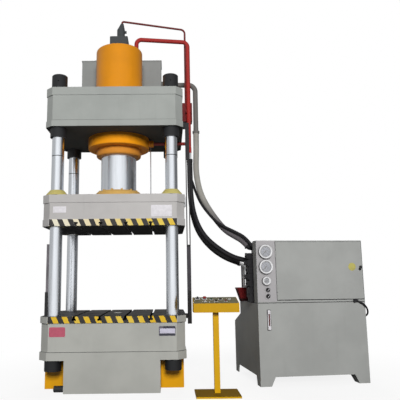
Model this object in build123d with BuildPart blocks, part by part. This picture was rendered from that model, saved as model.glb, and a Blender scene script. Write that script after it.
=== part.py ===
from build123d import *
import math
import os

# Four-column hydraulic press with its power unit and its button pedestal.
# Millimetres, +Z up, +X to the right and +Y to the back of the press.
# The origin is on the floor, under the middle of the press.

os.makedirs("parts", exist_ok=True)

# Columns and their nuts
column_diameter = 155
column_spacing_across = 1440
column_spacing_deep = 1100
column_end_recess = 2
column_top_recess = 9
column_hole_play = 0.4
column_ring_drop = 366
column_ring_depth = 3
column_ring_width = 7
nut_diameter = 200
nut_bore_play = 0.3
bottom_nut_height = 130
seat_nut_diameter = 208
seat_nut_height = 122
top_nut_height = 188
tommy_hole_diameter = 16
tommy_hole_depth = 22

# Bed
bed_margin_across = 160
bed_margin_deep = 125
bed_corner_cut = 104
bed_web_height = 336
table_plate_thickness = 78
bed_web_inset = 14
base_plate_thickness = 92
base_plate_underside = 372
apron_inset = 153
apron_wall = 40
side_foot_reach = 284
side_foot_depth = 758
drain_stub_diameter = 74
drain_stub_reach = 124
drain_stub_from_front = 75
drain_stub_floor_gap = 6

# T slots, cut from front to back
t_slot_pitch = 305
t_slot_throat = 28
t_slot_throat_depth = 26
t_slot_head = 50
t_slot_head_depth = 22

# Ejector under the table
ejector_rod_diameter = 120
ejector_rod_play = 0.5
ejector_body_diameter = 260
ejector_body_bottom = 96
ejector_flange_diameter = 380
ejector_flange_thickness = 40
ejector_well_diameter = 300
ejector_rod_drop = 6
ejector_top_gap = 30
ejector_foot_thickness = 40

# Slide
slide_margin_across = 165
slide_margin_deep = 125
slide_corner_cut = 97
open_height = 1084
slide_plate_thickness = 85
slide_web_height = 205
slide_top_plate = 102
slide_web_inset = 8
bush_diameter = 200
bush_flange_diameter = 268
bush_flange_height = 12
bush_neck_diameter = 176
bush_cone_height = 54
bush_bore_play = 0.4
bush_seat_play = 0.3

# Crown
crown_margin_across = 156
crown_margin_deep = 125
crown_corner_cut = 90
slide_to_crown = 874
crown_bottom_plate = 80
crown_web_height = 332
crown_top_plate = 105
crown_web_inset = 7

# Main cylinder
barrel_diameter = 650
barrel_height = 775
barrel_edge_radius = 34
neck_diameter = 600
neck_play = 0.5
piston_bore = 500
barrel_roof = 150
lock_ring_diameter = 840
lock_ring_height = 152
gland_diameter = 612
gland_height = 111
ram_diameter = 480
ram_play = 0.5
piston_diameter = 499
piston_height = 120
piston_headroom = 176
ram_flange_diameter = 616
ram_flange_height = 127
port_boss_reach = 62
port_boss_diameter = 92
port_boss_root = 30
port_boss_rise = 14
lock_ring_edge_radius = 12
gland_edge_radius = 28

# Prefill valve and top tank
valve_base_width = 252
valve_base_height = 190
valve_body_diameter = 112
valve_body_height = 150
valve_collar_height = 26
valve_cone_height = 96
valve_lean = 16
valve_offset = 20
tank_width = 1184
tank_depth = 316
tank_height = 812
tank_front = 350
suction_stub_diameter = 170
suction_stub_drop = 150
tank_lid_thickness = 12

# Pipes
main_pipe_diameter = 60
pilot_pipe_diameter = 28
return_pipe_diameter = 46
tank_pipe_diameter = 74

# Power unit: it stands at the right, turned a little towards the front
unit_from_columns = 1061
unit_corner_y = -424
unit_turn = 6.8
unit_width = 1412
oil_tank_depth = 1190
oil_tank_slope_depth = 330
oil_tank_height = 1000
oil_tank_underside = 110
hatch_low_drop = 297
hatch_high_drop = 174
shell_depth = 490
shell_height = 780
sheet = 5
strip_width = 247
door_from_strip = 6
door_edge = 8
door_from_tank = 37
door_from_top = 18
door_thickness = 20
gauge_diameter = 170
small_gauge_diameter = 100
gauge_reach = 46

# Pedestal
pedestal_from_columns = 498
pedestal_y = -792
pedestal_base_width = 505
pedestal_base_depth = 414
pedestal_base_thickness = 20
pedestal_post = 65
pedestal_box_width = 525
pedestal_box_depth = 275
pedestal_box_bottom = 924
pedestal_box_front_top = 1026
pedestal_box_back_top = 1087

# Derived places
bed_width = column_spacing_across + 2 * bed_margin_across
bed_depth = column_spacing_deep + 2 * bed_margin_deep
slide_width = column_spacing_across + 2 * slide_margin_across
slide_depth = column_spacing_deep + 2 * slide_margin_deep
crown_width = column_spacing_across + 2 * crown_margin_across
crown_depth = column_spacing_deep + 2 * crown_margin_deep
apron_width = column_spacing_across - 2 * apron_inset
column_points = [
    (-column_spacing_across / 2, -column_spacing_deep / 2),
    (column_spacing_across / 2, -column_spacing_deep / 2),
    (-column_spacing_across / 2, column_spacing_deep / 2),
    (column_spacing_across / 2, column_spacing_deep / 2),
]
column_hole = column_diameter + 2 * column_hole_play
base_plate_top = base_plate_underside + base_plate_thickness
table_plate_underside = base_plate_top + bed_web_height
table_height = table_plate_underside + table_plate_thickness
slide_underside = table_height + open_height
slide_web_bottom = slide_underside + slide_plate_thickness
slide_web_top = slide_web_bottom + slide_web_height
slide_top = slide_web_top + slide_top_plate
crown_underside = slide_top + slide_to_crown
crown_web_bottom = crown_underside + crown_bottom_plate
crown_web_top = crown_web_bottom + crown_web_height
crown_top = crown_web_top + crown_top_plate
barrel_top = crown_top + barrel_height
lock_ring_bottom = crown_underside - lock_ring_height
tank_top = crown_top + tank_height
column_bottom = base_plate_underside - bottom_nut_height + column_end_recess
column_top = crown_top + top_nut_height - column_top_recess
column_ring_height = crown_underside - column_ring_drop
ram_length = barrel_top - barrel_roof - piston_headroom - slide_top
unit_corner_x = column_spacing_across / 2 + unit_from_columns
oil_tank_flat_depth = oil_tank_depth - oil_tank_slope_depth
shell_top = oil_tank_height + shell_height
door_left = strip_width + door_from_strip
door_right = unit_width - door_edge
door_low = oil_tank_height + door_from_tank
door_high = shell_top - door_from_top
pedestal_x = column_spacing_across / 2 + pedestal_from_columns

# Bed
with BuildPart() as table_plate:
    with BuildSketch(Plane.XY.offset(table_plate_underside)) as plate_outline:
        Rectangle(bed_width, bed_depth)
        chamfer(plate_outline.vertices(), bed_corner_cut)
    extrude(amount=table_plate_thickness)
    with BuildSketch(Plane.XZ) as slot_profiles:
        for place in (-1.5, -0.5, 0.5, 1.5):
            with Locations((place * t_slot_pitch, table_height)):
                Rectangle(t_slot_throat, t_slot_throat_depth, align=(Align.CENTER, Align.MAX))
            with Locations((place * t_slot_pitch, table_height - t_slot_throat_depth)):
                Rectangle(t_slot_head, t_slot_head_depth, align=(Align.CENTER, Align.MAX))
    extrude(amount=bed_depth, both=True, mode=Mode.SUBTRACT)
    with Locations(Plane.XY.offset(table_height)):
        with Locations(*column_points):
            Hole(column_hole / 2)
        Hole(ejector_rod_diameter / 2 + ejector_rod_play)
table_plate.part.label = "table_plate"

with BuildPart() as bed_frame:
    with BuildSketch(Plane.XY.offset(base_plate_top)) as web_outline:
        Rectangle(bed_width - 2 * bed_web_inset, bed_depth - 2 * bed_web_inset)
        chamfer(web_outline.vertices(), bed_corner_cut)
    extrude(amount=table_plate_underside - base_plate_top)
    with BuildSketch(Plane.XY.offset(base_plate_underside)) as base_outline:
        Rectangle(bed_width, bed_depth)
        chamfer(base_outline.vertices(), bed_corner_cut)
    extrude(amount=base_plate_thickness)
    with BuildSketch(Plane.XY) as apron_outline:
        Rectangle(apron_width, bed_depth)
        Rectangle(apron_width - 2 * apron_wall, bed_depth - 2 * apron_wall, mode=Mode.SUBTRACT)
    extrude(amount=base_plate_underside)
    with Locations(Plane.XY.offset(table_plate_underside)):
        with Locations(*column_points):
            Hole(column_hole / 2)
        Hole(ejector_well_diameter / 2)
bed_frame.part.label = "bed_frame"

with BuildPart() as side_feet:
    with BuildSketch(Plane.XY) as feet_outline:
        for side in (-1, 1):
            with Locations((side * (apron_width + side_foot_reach) / 2, 0)):
                Rectangle(side_foot_reach, side_foot_depth)
    extrude(amount=base_plate_underside)
side_feet.part.label = "side_feet"

with BuildPart() as drain_stub:
    stub_y = drain_stub_from_front - bed_depth / 2
    with Locations((-apron_width / 2, stub_y, drain_stub_diameter / 2 + drain_stub_floor_gap)):
        with Locations(Rotation(0, -90, 0)):
            Cylinder(drain_stub_diameter / 2, drain_stub_reach, align=(Align.CENTER, Align.CENTER, Align.MIN))
    cap_edges = drain_stub.faces().sort_by(Axis.X)[0].edges()
    chamfer(cap_edges, 6)
drain_stub.part.label = "drain_stub"

# Columns
with BuildPart() as columns:
    with BuildSketch(Plane.XY.offset(column_bottom)):
        with Locations(*column_points):
            Circle(column_diameter / 2)
    extrude(amount=column_top - column_bottom)
    chamfer(columns.edges().group_by(Axis.Z)[-1], 6)
    chamfer(columns.edges().group_by(Axis.Z)[0], 6)
    with BuildSketch(Plane.XY.offset(column_ring_height)):
        with Locations(*column_points):
            Circle(column_diameter / 2 + 1)
            Circle(column_diameter / 2 - column_ring_depth, mode=Mode.SUBTRACT)
    extrude(amount=column_ring_width, mode=Mode.SUBTRACT)
columns.part.label = "columns"

with BuildPart() as column_nuts:
    with BuildSketch(Plane.XY.offset(base_plate_underside)):
        with Locations(*column_points):
            Circle(nut_diameter / 2)
            Circle(column_diameter / 2 + nut_bore_play, mode=Mode.SUBTRACT)
    extrude(amount=-bottom_nut_height)
    with BuildSketch(Plane.XY.offset(crown_underside)):
        with Locations(*column_points):
            Circle(seat_nut_diameter / 2)
            Circle(column_diameter / 2 + nut_bore_play, mode=Mode.SUBTRACT)
    extrude(amount=-seat_nut_height)
    with BuildSketch(Plane.XY.offset(crown_top)):
        with Locations(*column_points):
            Circle(nut_diameter / 2)
            Circle(column_diameter / 2 + nut_bore_play, mode=Mode.SUBTRACT)
    extrude(amount=top_nut_height)
    top_edges = column_nuts.edges().group_by(Axis.Z)[-1]
    rims = top_edges.filter_by(lambda edge: edge.radius > column_diameter / 2 + 1)
    chamfer(rims, 7)
    for x, y in column_points:
        tommy_height = crown_top + top_nut_height / 2
        tommy_plane = Plane(origin=(x, y - nut_diameter / 2, tommy_height), z_dir=(0, -1, 0))
        with BuildSketch(tommy_plane):
            Circle(tommy_hole_diameter / 2)
        extrude(amount=-tommy_hole_depth, mode=Mode.SUBTRACT)
column_nuts.part.label = "column_nuts"

# Crown
rod_x = 434
rod_y = 200
rod_diameter = 14
rod_hole_diameter = 30
rod_above_crown = 229
rod_length = crown_top + rod_above_crown - slide_top
with BuildPart() as crown:
    with BuildSketch(Plane.XY.offset(crown_underside)) as crown_bottom_outline:
        Rectangle(crown_width, crown_depth)
        chamfer(crown_bottom_outline.vertices(), crown_corner_cut)
    extrude(amount=crown_bottom_plate)
    with BuildSketch(Plane.XY.offset(crown_web_bottom)) as crown_web_outline:
        Rectangle(crown_width - 2 * crown_web_inset, crown_depth - 2 * crown_web_inset)
        chamfer(crown_web_outline.vertices(), crown_corner_cut)
    extrude(amount=crown_web_height)
    with BuildSketch(Plane.XY.offset(crown_web_top)) as crown_top_outline:
        Rectangle(crown_width, crown_depth)
        chamfer(crown_top_outline.vertices(), crown_corner_cut)
    extrude(amount=crown_top_plate)
    with Locations(Plane.XY.offset(crown_top)):
        with Locations(*column_points):
            Hole(column_hole / 2)
        with Locations((rod_x, rod_y)):
            Hole(rod_hole_diameter / 2)
        Hole(neck_diameter / 2 + neck_play)
crown.part.label = "crown"

# Main cylinder
with BuildPart() as main_cylinder:
    with BuildSketch(Plane.XY.offset(crown_top)) as barrel_section:
        Circle(barrel_diameter / 2)
    extrude(amount=barrel_height)
    fillet(main_cylinder.faces().sort_by(Axis.Z)[-1].edges(), barrel_edge_radius)
    with BuildSketch(Plane.XY.offset(lock_ring_bottom)) as neck_section:
        Circle(neck_diameter / 2)
    extrude(amount=crown_top - lock_ring_bottom)
    with BuildSketch(Plane.XY.offset(lock_ring_bottom)) as bore_section:
        Circle(piston_bore / 2)
    extrude(amount=barrel_top - barrel_roof - lock_ring_bottom, mode=Mode.SUBTRACT)
main_cylinder.part.label = "main_cylinder"

with BuildPart() as cylinder_lock_ring:
    with BuildSketch(Plane.XY.offset(crown_underside)) as lock_ring_section:
        Circle(lock_ring_diameter / 2)
    extrude(amount=-lock_ring_height)
    fillet(cylinder_lock_ring.edges().group_by(Axis.Z)[0], lock_ring_edge_radius)
    boss_z = crown_underside - lock_ring_height / 2 + port_boss_rise
    boss_root_x = lock_ring_diameter / 2 - port_boss_root
    with BuildSketch(Plane(origin=(boss_root_x, 0, boss_z), z_dir=(1, 0, 0))) as boss_section:
        Circle(port_boss_diameter / 2)
    extrude(amount=port_boss_root + port_boss_reach)
    with BuildSketch(Plane.XY.offset(crown_underside)) as ring_bore:
        Circle(neck_diameter / 2 + neck_play)
    extrude(amount=-lock_ring_height, mode=Mode.SUBTRACT)
cylinder_lock_ring.part.label = "cylinder_lock_ring"

with BuildPart() as cylinder_gland:
    with BuildSketch(Plane.XY.offset(lock_ring_bottom)) as gland_section:
        Circle(gland_diameter / 2)
    extrude(amount=-gland_height)
    fillet(cylinder_gland.edges().group_by(Axis.Z)[0], gland_edge_radius)
    with BuildSketch(Plane.XY.offset(lock_ring_bottom)) as gland_bore:
        Circle(ram_diameter / 2 + ram_play)
    extrude(amount=-gland_height, mode=Mode.SUBTRACT)
cylinder_gland.part.label = "cylinder_gland"

with BuildPart() as ram:
    with BuildSketch(Plane.XY.offset(slide_top)) as ram_section:
        Circle(ram_diameter / 2)
    extrude(amount=ram_length)
    with BuildSketch(Plane.XY.offset(slide_top + ram_length)) as piston_section:
        Circle(piston_diameter / 2)
    extrude(amount=-piston_height)
    chamfer(ram.edges().group_by(Axis.Z)[-1], 8)
ram.part.label = "ram"

with BuildPart() as ram_flange:
    with BuildSketch(Plane.XY.offset(slide_top)) as flange_section:
        Circle(ram_flange_diameter / 2)
    extrude(amount=ram_flange_height)
    chamfer(ram_flange.edges().group_by(Axis.Z)[-1], 22)
    with BuildSketch(Plane.XY.offset(slide_top)) as flange_bore:
        Circle(ram_diameter / 2 + ram_play)
    extrude(amount=ram_flange_height, mode=Mode.SUBTRACT)
ram_flange.part.label = "ram_flange"

# Prefill valve and top tank
valve_body_bottom = barrel_top + valve_base_height
valve_tip_z = valve_body_bottom + valve_body_height + valve_cone_height
valve_tip_x = valve_offset + valve_lean
with BuildPart() as prefill_valve:
    with BuildSketch(Plane.XY.offset(barrel_top)) as valve_base:
        Rectangle(valve_base_width, valve_base_width)
    extrude(amount=valve_base_height)
    chamfer(prefill_valve.edges().filter_by(Axis.Z), 12)
    with BuildSketch(Plane.XY.offset(valve_body_bottom)) as valve_collar:
        with Locations((valve_offset, 0)):
            Circle(valve_body_diameter / 2 + 16)
    extrude(amount=valve_collar_height)
    with BuildSketch(Plane.XY.offset(valve_body_bottom + valve_collar_height)) as valve_body:
        with Locations((valve_offset, 0)):
            Circle(valve_body_diameter / 2)
    extrude(amount=valve_body_height - valve_collar_height)
    with BuildSketch(Plane.XY.offset(valve_body_bottom + valve_body_height)) as cone_foot:
        with Locations((valve_offset, 0)):
            Circle(valve_body_diameter / 2)
    with BuildSketch(Plane.XY.offset(valve_tip_z)) as cone_head:
        with Locations((valve_tip_x, 0)):
            Circle(pilot_pipe_diameter / 2 + 8)
    loft()
    side_port = Plane(origin=(valve_offset, 0, valve_body_bottom + valve_body_height - 30), z_dir=(1, 0, 0))
    with BuildSketch(side_port):
        Circle(20)
    extrude(amount=valve_body_diameter / 2 + 24)
prefill_valve.part.label = "prefill_valve"

with BuildPart() as fill_tank:
    with BuildSketch(Plane.XY.offset(crown_top)) as tank_section:
        with Locations((0, tank_front + tank_depth / 2)):
            Rectangle(tank_width, tank_depth)
    extrude(amount=tank_height - tank_lid_thickness)
    fillet(fill_tank.edges().filter_by(Axis.Z), 12)
    with BuildSketch(Plane.XY.offset(tank_top - tank_lid_thickness)) as lid_section:
        with Locations((0, tank_front + tank_depth / 2)):
            Rectangle(tank_width + 12, tank_depth + 12)
    extrude(amount=tank_lid_thickness)
    with BuildSketch(Plane.XY.offset(tank_top)) as breather_section:
        with Locations((-tank_width / 3, tank_front + tank_depth / 2)):
            Circle(45)
    extrude(amount=60)
    stub_height = crown_top + barrel_height - suction_stub_drop
    with BuildSketch(Plane(origin=(0, tank_front + 20, stub_height), z_dir=(0, -1, 0))) as suction_stub:
        Circle(suction_stub_diameter / 2)
    extrude(amount=tank_front + 20 - barrel_diameter / 4)
    with BuildSketch(Plane.XY.offset(crown_top)) as barrel_room:
        Circle(barrel_diameter / 2 + 0.2)
    extrude(amount=barrel_height, mode=Mode.SUBTRACT)
fill_tank.part.label = "fill_tank"

# Slide
with BuildPart() as slide_plate:
    with BuildSketch(Plane.XY.offset(slide_underside)) as slide_plate_outline:
        Rectangle(slide_width, slide_depth)
        chamfer(slide_plate_outline.vertices(), slide_corner_cut)
    extrude(amount=slide_plate_thickness)
    with BuildSketch(Plane.XZ) as slide_slot_profiles:
        for place in (-1.5, -0.5, 0.5, 1.5):
            with Locations((place * t_slot_pitch, slide_underside)):
                Rectangle(t_slot_throat, t_slot_throat_depth, align=(Align.CENTER, Align.MIN))
            with Locations((place * t_slot_pitch, slide_underside + t_slot_throat_depth)):
                Rectangle(t_slot_head, t_slot_head_depth, align=(Align.CENTER, Align.MIN))
    extrude(amount=slide_depth, both=True, mode=Mode.SUBTRACT)
    with Locations(Plane.XY.offset(slide_web_bottom)):
        with Locations(*column_points):
            Hole(bush_diameter / 2 + bush_seat_play)
slide_plate.part.label = "slide_plate"

with BuildPart() as slide_frame:
    with BuildSketch(Plane.XY.offset(slide_web_bottom)) as slide_web_outline:
        Rectangle(slide_width - 2 * slide_web_inset, slide_depth - 2 * slide_web_inset)
        chamfer(slide_web_outline.vertices(), slide_corner_cut)
    extrude(amount=slide_web_height)
    with BuildSketch(Plane.XY.offset(slide_web_top)) as slide_top_outline:
        Rectangle(slide_width, slide_depth)
        chamfer(slide_top_outline.vertices(), slide_corner_cut)
    extrude(amount=slide_top_plate)
    with Locations(Plane.XY.offset(slide_top)):
        with Locations(*column_points):
            Hole(bush_diameter / 2 + bush_seat_play)
slide_frame.part.label = "slide_frame"

with BuildPart() as guide_bushes:
    with BuildSketch(Plane.XY.offset(slide_underside)) as bush_section:
        with Locations(*column_points):
            Circle(bush_diameter / 2)
            Circle(column_diameter / 2 + bush_bore_play, mode=Mode.SUBTRACT)
    extrude(amount=slide_top - slide_underside)
    with BuildSketch(Plane.XY.offset(slide_top)) as bush_flange_section:
        with Locations(*column_points):
            Circle(bush_flange_diameter / 2)
            Circle(column_diameter / 2 + bush_bore_play, mode=Mode.SUBTRACT)
    extrude(amount=bush_flange_height)
    for x, y in column_points:
        with BuildSketch(Plane(origin=(x, y, 0), x_dir=(1, 0, 0), z_dir=(0, -1, 0))) as cone_profile:
            with BuildLine():
                Polyline(
                    (column_diameter / 2 + bush_bore_play, slide_top + bush_flange_height),
                    (bush_flange_diameter / 2, slide_top + bush_flange_height),
                    (bush_neck_diameter / 2, slide_top + bush_flange_height + bush_cone_height),
                    (column_diameter / 2 + bush_bore_play, slide_top + bush_flange_height + bush_cone_height),
                    close=True,
                )
            make_face()
        revolve(axis=Axis((x, y, 0), (0, 0, 1)))
guide_bushes.part.label = "guide_bushes"

bracket_y = -150
bracket_reach = 28
with BuildPart() as slide_trips:
    with BuildSketch(Plane.XZ.offset(-bracket_y)) as bracket_profile:
        with BuildLine():
            Polyline(
                (slide_width / 2, slide_web_top + 4),
                (slide_width / 2 + 12, slide_web_top + 4),
                (slide_width / 2 + bracket_reach, slide_web_top + 22),
                (slide_width / 2 + bracket_reach, slide_top + 28),
                (slide_width / 2 + 18, slide_top + 40),
                (slide_width / 2, slide_top + 40),
                close=True,
            )
        make_face()
    extrude(amount=45, both=True)
    with BuildSketch(Plane.XY.offset(slide_top)) as rod_foot:
        with Locations((rod_x, rod_y)):
            Circle(rod_diameter * 1.4)
    extrude(amount=24)
    with BuildSketch(Plane.XY.offset(slide_top)) as rod_section:
        with Locations((rod_x, rod_y)):
            Circle(rod_diameter / 2)
    extrude(amount=rod_length)
slide_trips.part.label = "slide_trips"

# Ejector
with BuildPart() as ejector_cylinder:
    with BuildSketch(Plane.XY.offset(ejector_body_bottom)) as ejector_section:
        Circle(ejector_body_diameter / 2)
    extrude(amount=table_plate_underside - ejector_top_gap - ejector_body_bottom)
    with BuildSketch(Plane.XY.offset(base_plate_underside)) as ejector_flange_section:
        Circle(ejector_flange_diameter / 2)
    extrude(amount=-ejector_flange_thickness)
    with BuildSketch(Plane.XY.offset(ejector_body_bottom + ejector_foot_thickness)) as ejector_bore:
        Circle(ejector_rod_diameter / 2 + ejector_rod_play)
    extrude(amount=table_plate_underside, mode=Mode.SUBTRACT)
ejector_cylinder.part.label = "ejector_cylinder"

with BuildPart() as ejector_rod:
    rod_foot = ejector_body_bottom + ejector_foot_thickness + 1
    with BuildSketch(Plane.XY.offset(rod_foot)) as ejector_rod_section:
        Circle(ejector_rod_diameter / 2)
    extrude(amount=table_height - ejector_rod_drop - ejector_body_bottom - ejector_foot_thickness - 1)
    chamfer(ejector_rod.edges().group_by(Axis.Z)[-1], 4)
ejector_rod.part.label = "ejector_rod"

# Pipes on the press
main_port_x = barrel_diameter / 2 - 82
main_pipe_x = crown_width / 2 + 104
main_pipe_y = 100
main_pipe_level = barrel_top + 198
main_pipe_end = crown_underside - 168
with BuildPart() as pressure_pipe:
    with BuildLine() as pressure_route:
        FilletPolyline(
            (main_port_x, 0, barrel_top),
            (main_port_x, 0, main_pipe_level),
            (main_pipe_x, main_pipe_y, main_pipe_level),
            (main_pipe_x, main_pipe_y, main_pipe_end),
            radius=75,
        )
    with BuildSketch(Plane(origin=(main_port_x, 0, barrel_top), z_dir=(0, 0, 1))) as pressure_section:
        Circle(main_pipe_diameter / 2)
    sweep()
    with BuildSketch(Plane.XY.offset(barrel_top)) as pressure_flange:
        with Locations((main_port_x, 0)):
            Circle(main_pipe_diameter / 2 + 12)
    extrude(amount=30)
pressure_pipe.part.label = "pressure_pipe"

pilot_x = crown_width / 2 + 67
pilot_y = 180
pilot_level = valve_tip_z - 4
block_top = crown_top + 70
block_height = 275
block_width = 158
block_depth = 150
block_front = pilot_y - 30
drop_pipe_x = crown_width / 2 + 100
drop_pipe_y = pilot_y + 70
drop_pipe_end = crown_underside - 218
with BuildPart() as pilot_pipe:
    with BuildLine() as pilot_route:
        FilletPolyline(
            (valve_tip_x, 0, valve_tip_z),
            (valve_tip_x, 0, valve_tip_z + 40),
            (pilot_x, pilot_y, pilot_level),
            (pilot_x, pilot_y, block_top),
            radius=[26, 60],
        )
    with BuildSketch(Plane(origin=(valve_tip_x, 0, valve_tip_z), z_dir=(0, 0, 1))) as pilot_section:
        Circle(pilot_pipe_diameter / 2)
    sweep()
pilot_pipe.part.label = "pilot_pipe"

with BuildPart() as valve_block:
    with BuildSketch(Plane.XY.offset(block_top)) as block_section:
        with Locations((crown_width / 2, block_front)):
            Rectangle(block_width, block_depth, align=(Align.MIN, Align.MIN))
    extrude(amount=-block_height)
    chamfer(valve_block.edges().filter_by(Axis.Z), 8)
    with BuildSketch(Plane.XY.offset(block_top - block_height)) as block_outlet:
        with Locations((drop_pipe_x, drop_pipe_y)):
            Circle(26)
    extrude(amount=-30)
    with BuildSketch(Plane.XY.offset(block_top - block_height - 30)) as drop_section:
        with Locations((drop_pipe_x, drop_pipe_y)):
            Circle(pilot_pipe_diameter / 2)
    extrude(amount=-(block_top - block_height - 30 - drop_pipe_end))
valve_block.part.label = "valve_block"

return_x = crown_width / 2 + 109
return_pipe_end = crown_underside - 193
return_y = 0
with BuildPart() as return_pipe:
    with BuildLine() as return_route:
        FilletPolyline(
            (lock_ring_diameter / 2 + port_boss_reach, return_y, boss_z),
            (return_x, return_y, boss_z),
            (return_x, return_y, return_pipe_end),
            radius=70,
        )
    boss_face = (lock_ring_diameter / 2 + port_boss_reach, return_y, boss_z)
    with BuildSketch(Plane(origin=boss_face, z_dir=(1, 0, 0))):
        Circle(return_pipe_diameter / 2)
    sweep()
return_pipe.part.label = "return_pipe"

tank_pipe_x = crown_width / 2 + 228
tank_pipe_end = crown_underside + 312
tank_pipe_y = 500
tank_pipe_level = crown_top + 478
with BuildPart() as tank_pipe:
    with BuildLine() as tank_route:
        FilletPolyline(
            (tank_width / 2, tank_pipe_y, tank_pipe_level),
            (tank_pipe_x, tank_pipe_y, tank_pipe_level),
            (tank_pipe_x, tank_pipe_y, tank_pipe_end),
            radius=110,
        )
    with BuildSketch(Plane(origin=(tank_width / 2, tank_pipe_y, tank_pipe_level), z_dir=(1, 0, 0))):
        Circle(tank_pipe_diameter / 2)
    sweep()
    with BuildSketch(Plane(origin=(tank_width / 2, tank_pipe_y, tank_pipe_level), z_dir=(1, 0, 0))):
        Circle(tank_pipe_diameter / 2 + 20)
    extrude(amount=22)
tank_pipe.part.label = "tank_pipe"

clamp_width = 84
clamp_height = 44
clamp_front = main_pipe_y - 4
with BuildPart() as pipe_clamps:
    with BuildSketch(Plane.XY.offset(block_top - block_height / 2 - clamp_height / 2)) as clamp_outline:
        with Locations((main_pipe_x, clamp_front)):
            Rectangle(clamp_width, block_front - clamp_front, align=(Align.CENTER, Align.MIN))
        with Locations((main_pipe_x, main_pipe_y)):
            Circle(main_pipe_diameter / 2 + 0.3, mode=Mode.SUBTRACT)
    extrude(amount=clamp_height)
pipe_clamps.part.label = "pipe_clamps"

# Light curtains and switch rail
curtain_y = -150
curtain_low = table_height - 138
curtain_high = table_height + 846
curtain_width = 52
curtain_gap = 3
curtain_x = slide_width / 2 + bracket_reach + curtain_gap + curtain_width / 2
left_curtain_width = 33
left_curtain_high = table_height + 899
left_post_high = table_height + 280
left_curtain_x = slide_width / 2 + 4 + left_curtain_width / 2
arm_height = table_height - table_plate_thickness / 2
with BuildPart() as light_curtains:
    with BuildSketch(Plane.XY.offset(curtain_low)) as right_section:
        with Locations((curtain_x, curtain_y)):
            RectangleRounded(curtain_width, curtain_width, 8)
    extrude(amount=curtain_high - curtain_low)
    with BuildSketch(Plane.XY.offset(left_post_high)) as left_section:
        with Locations((-left_curtain_x, curtain_y)):
            RectangleRounded(left_curtain_width, left_curtain_width + 12, 5)
    extrude(amount=left_curtain_high - left_post_high)
    with BuildSketch(Plane.XY.offset(curtain_low)) as left_post_section:
        with Locations((-slide_width / 2 - 4, curtain_y)):
            RectangleRounded(left_curtain_width + 8, curtain_width, 5, align=(Align.MAX, Align.CENTER))
    extrude(amount=left_post_high - curtain_low)
    for side, inner in ((-1, slide_width / 2 + 4), (1, curtain_x - curtain_width / 2)):
        with Locations((side * (bed_width / 2 + inner) / 2, curtain_y, arm_height)):
            Box(inner - bed_width / 2, 40, 60)
light_curtains.part.label = "light_curtains"

rail_top = crown_underside + 192
rail_head_length = 516
curtain_inner = curtain_x - curtain_width / 2
rail_bar = 13
with BuildPart() as switch_rail:
    for edge in (-1, 1):
        with BuildSketch(Plane.XY.offset(curtain_high)) as rail_section:
            with Locations((curtain_x + edge * (curtain_width - rail_bar) / 2, curtain_y)):
                Rectangle(rail_bar, 30)
        extrude(amount=rail_top - curtain_high)
    with Locations((curtain_x, curtain_y, rail_top - rail_head_length / 2)):
        Box(curtain_width, 30, rail_head_length)
    with Locations((curtain_inner, curtain_y, rail_top - 40)):
        arm_reach = curtain_inner - crown_width / 2 + crown_web_inset
        Box(arm_reach, 60, 80, align=(Align.MAX, Align.CENTER, Align.CENTER))
    with Locations((curtain_x, curtain_y, curtain_high + 15)):
        Box(curtain_width, 30, 30)
switch_rail.part.label = "switch_rail"

# Power unit
turn = math.radians(unit_turn)
unit_floor = Plane(
    origin=(unit_corner_x, unit_corner_y, 0),
    x_dir=(math.cos(turn), math.sin(turn), 0),
    z_dir=(0, 0, 1),
)
unit_front = Plane(origin=unit_floor.origin, x_dir=unit_floor.x_dir, z_dir=-unit_floor.y_dir)
unit_side = Plane(origin=unit_floor.origin, x_dir=unit_floor.y_dir, z_dir=unit_floor.x_dir)

side_flange = 150
manifold_x = 62
manifold_deep = 185
hinge_x = door_left - 2
hinge_out = 12
hinge_pin_diameter = 8
hinge_barrel_diameter = 13
hinge_heights = [oil_tank_height + 180, oil_tank_height + 600]
foot_width = 192
back_foot_width = 12
foot_toe = 140
foot_depth = 167
foot_toe_depth = 132
with BuildPart() as oil_tank:
    with BuildSketch(unit_side) as tank_profile:
        with BuildLine():
            Polyline(
                (0, oil_tank_underside),
                (oil_tank_depth, oil_tank_underside),
                (oil_tank_depth, oil_tank_height - hatch_low_drop),
                (oil_tank_flat_depth, oil_tank_height - hatch_high_drop),
                (oil_tank_flat_depth, oil_tank_height),
                (0, oil_tank_height),
                close=True,
            )
        make_face()
    extrude(amount=unit_width)
oil_tank.part.label = "oil_tank"

with BuildPart() as tank_feet:
    for right in (False, True):
        for back in (False, True):
            x_align = Align.MAX if right else Align.MIN
            y_align = Align.MAX if back else Align.MIN
            corner = (unit_width if right else 0, oil_tank_depth if back else 0)
            with BuildSketch(unit_floor) as toe:
                with Locations(corner):
                    Rectangle(back_foot_width if back else foot_toe, foot_toe_depth, align=(x_align, y_align))
            with BuildSketch(unit_floor.offset(oil_tank_underside)) as heel:
                with Locations(corner):
                    Rectangle(back_foot_width if back else foot_width, foot_depth, align=(x_align, y_align))
            loft()
tank_feet.part.label = "tank_feet"

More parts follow.
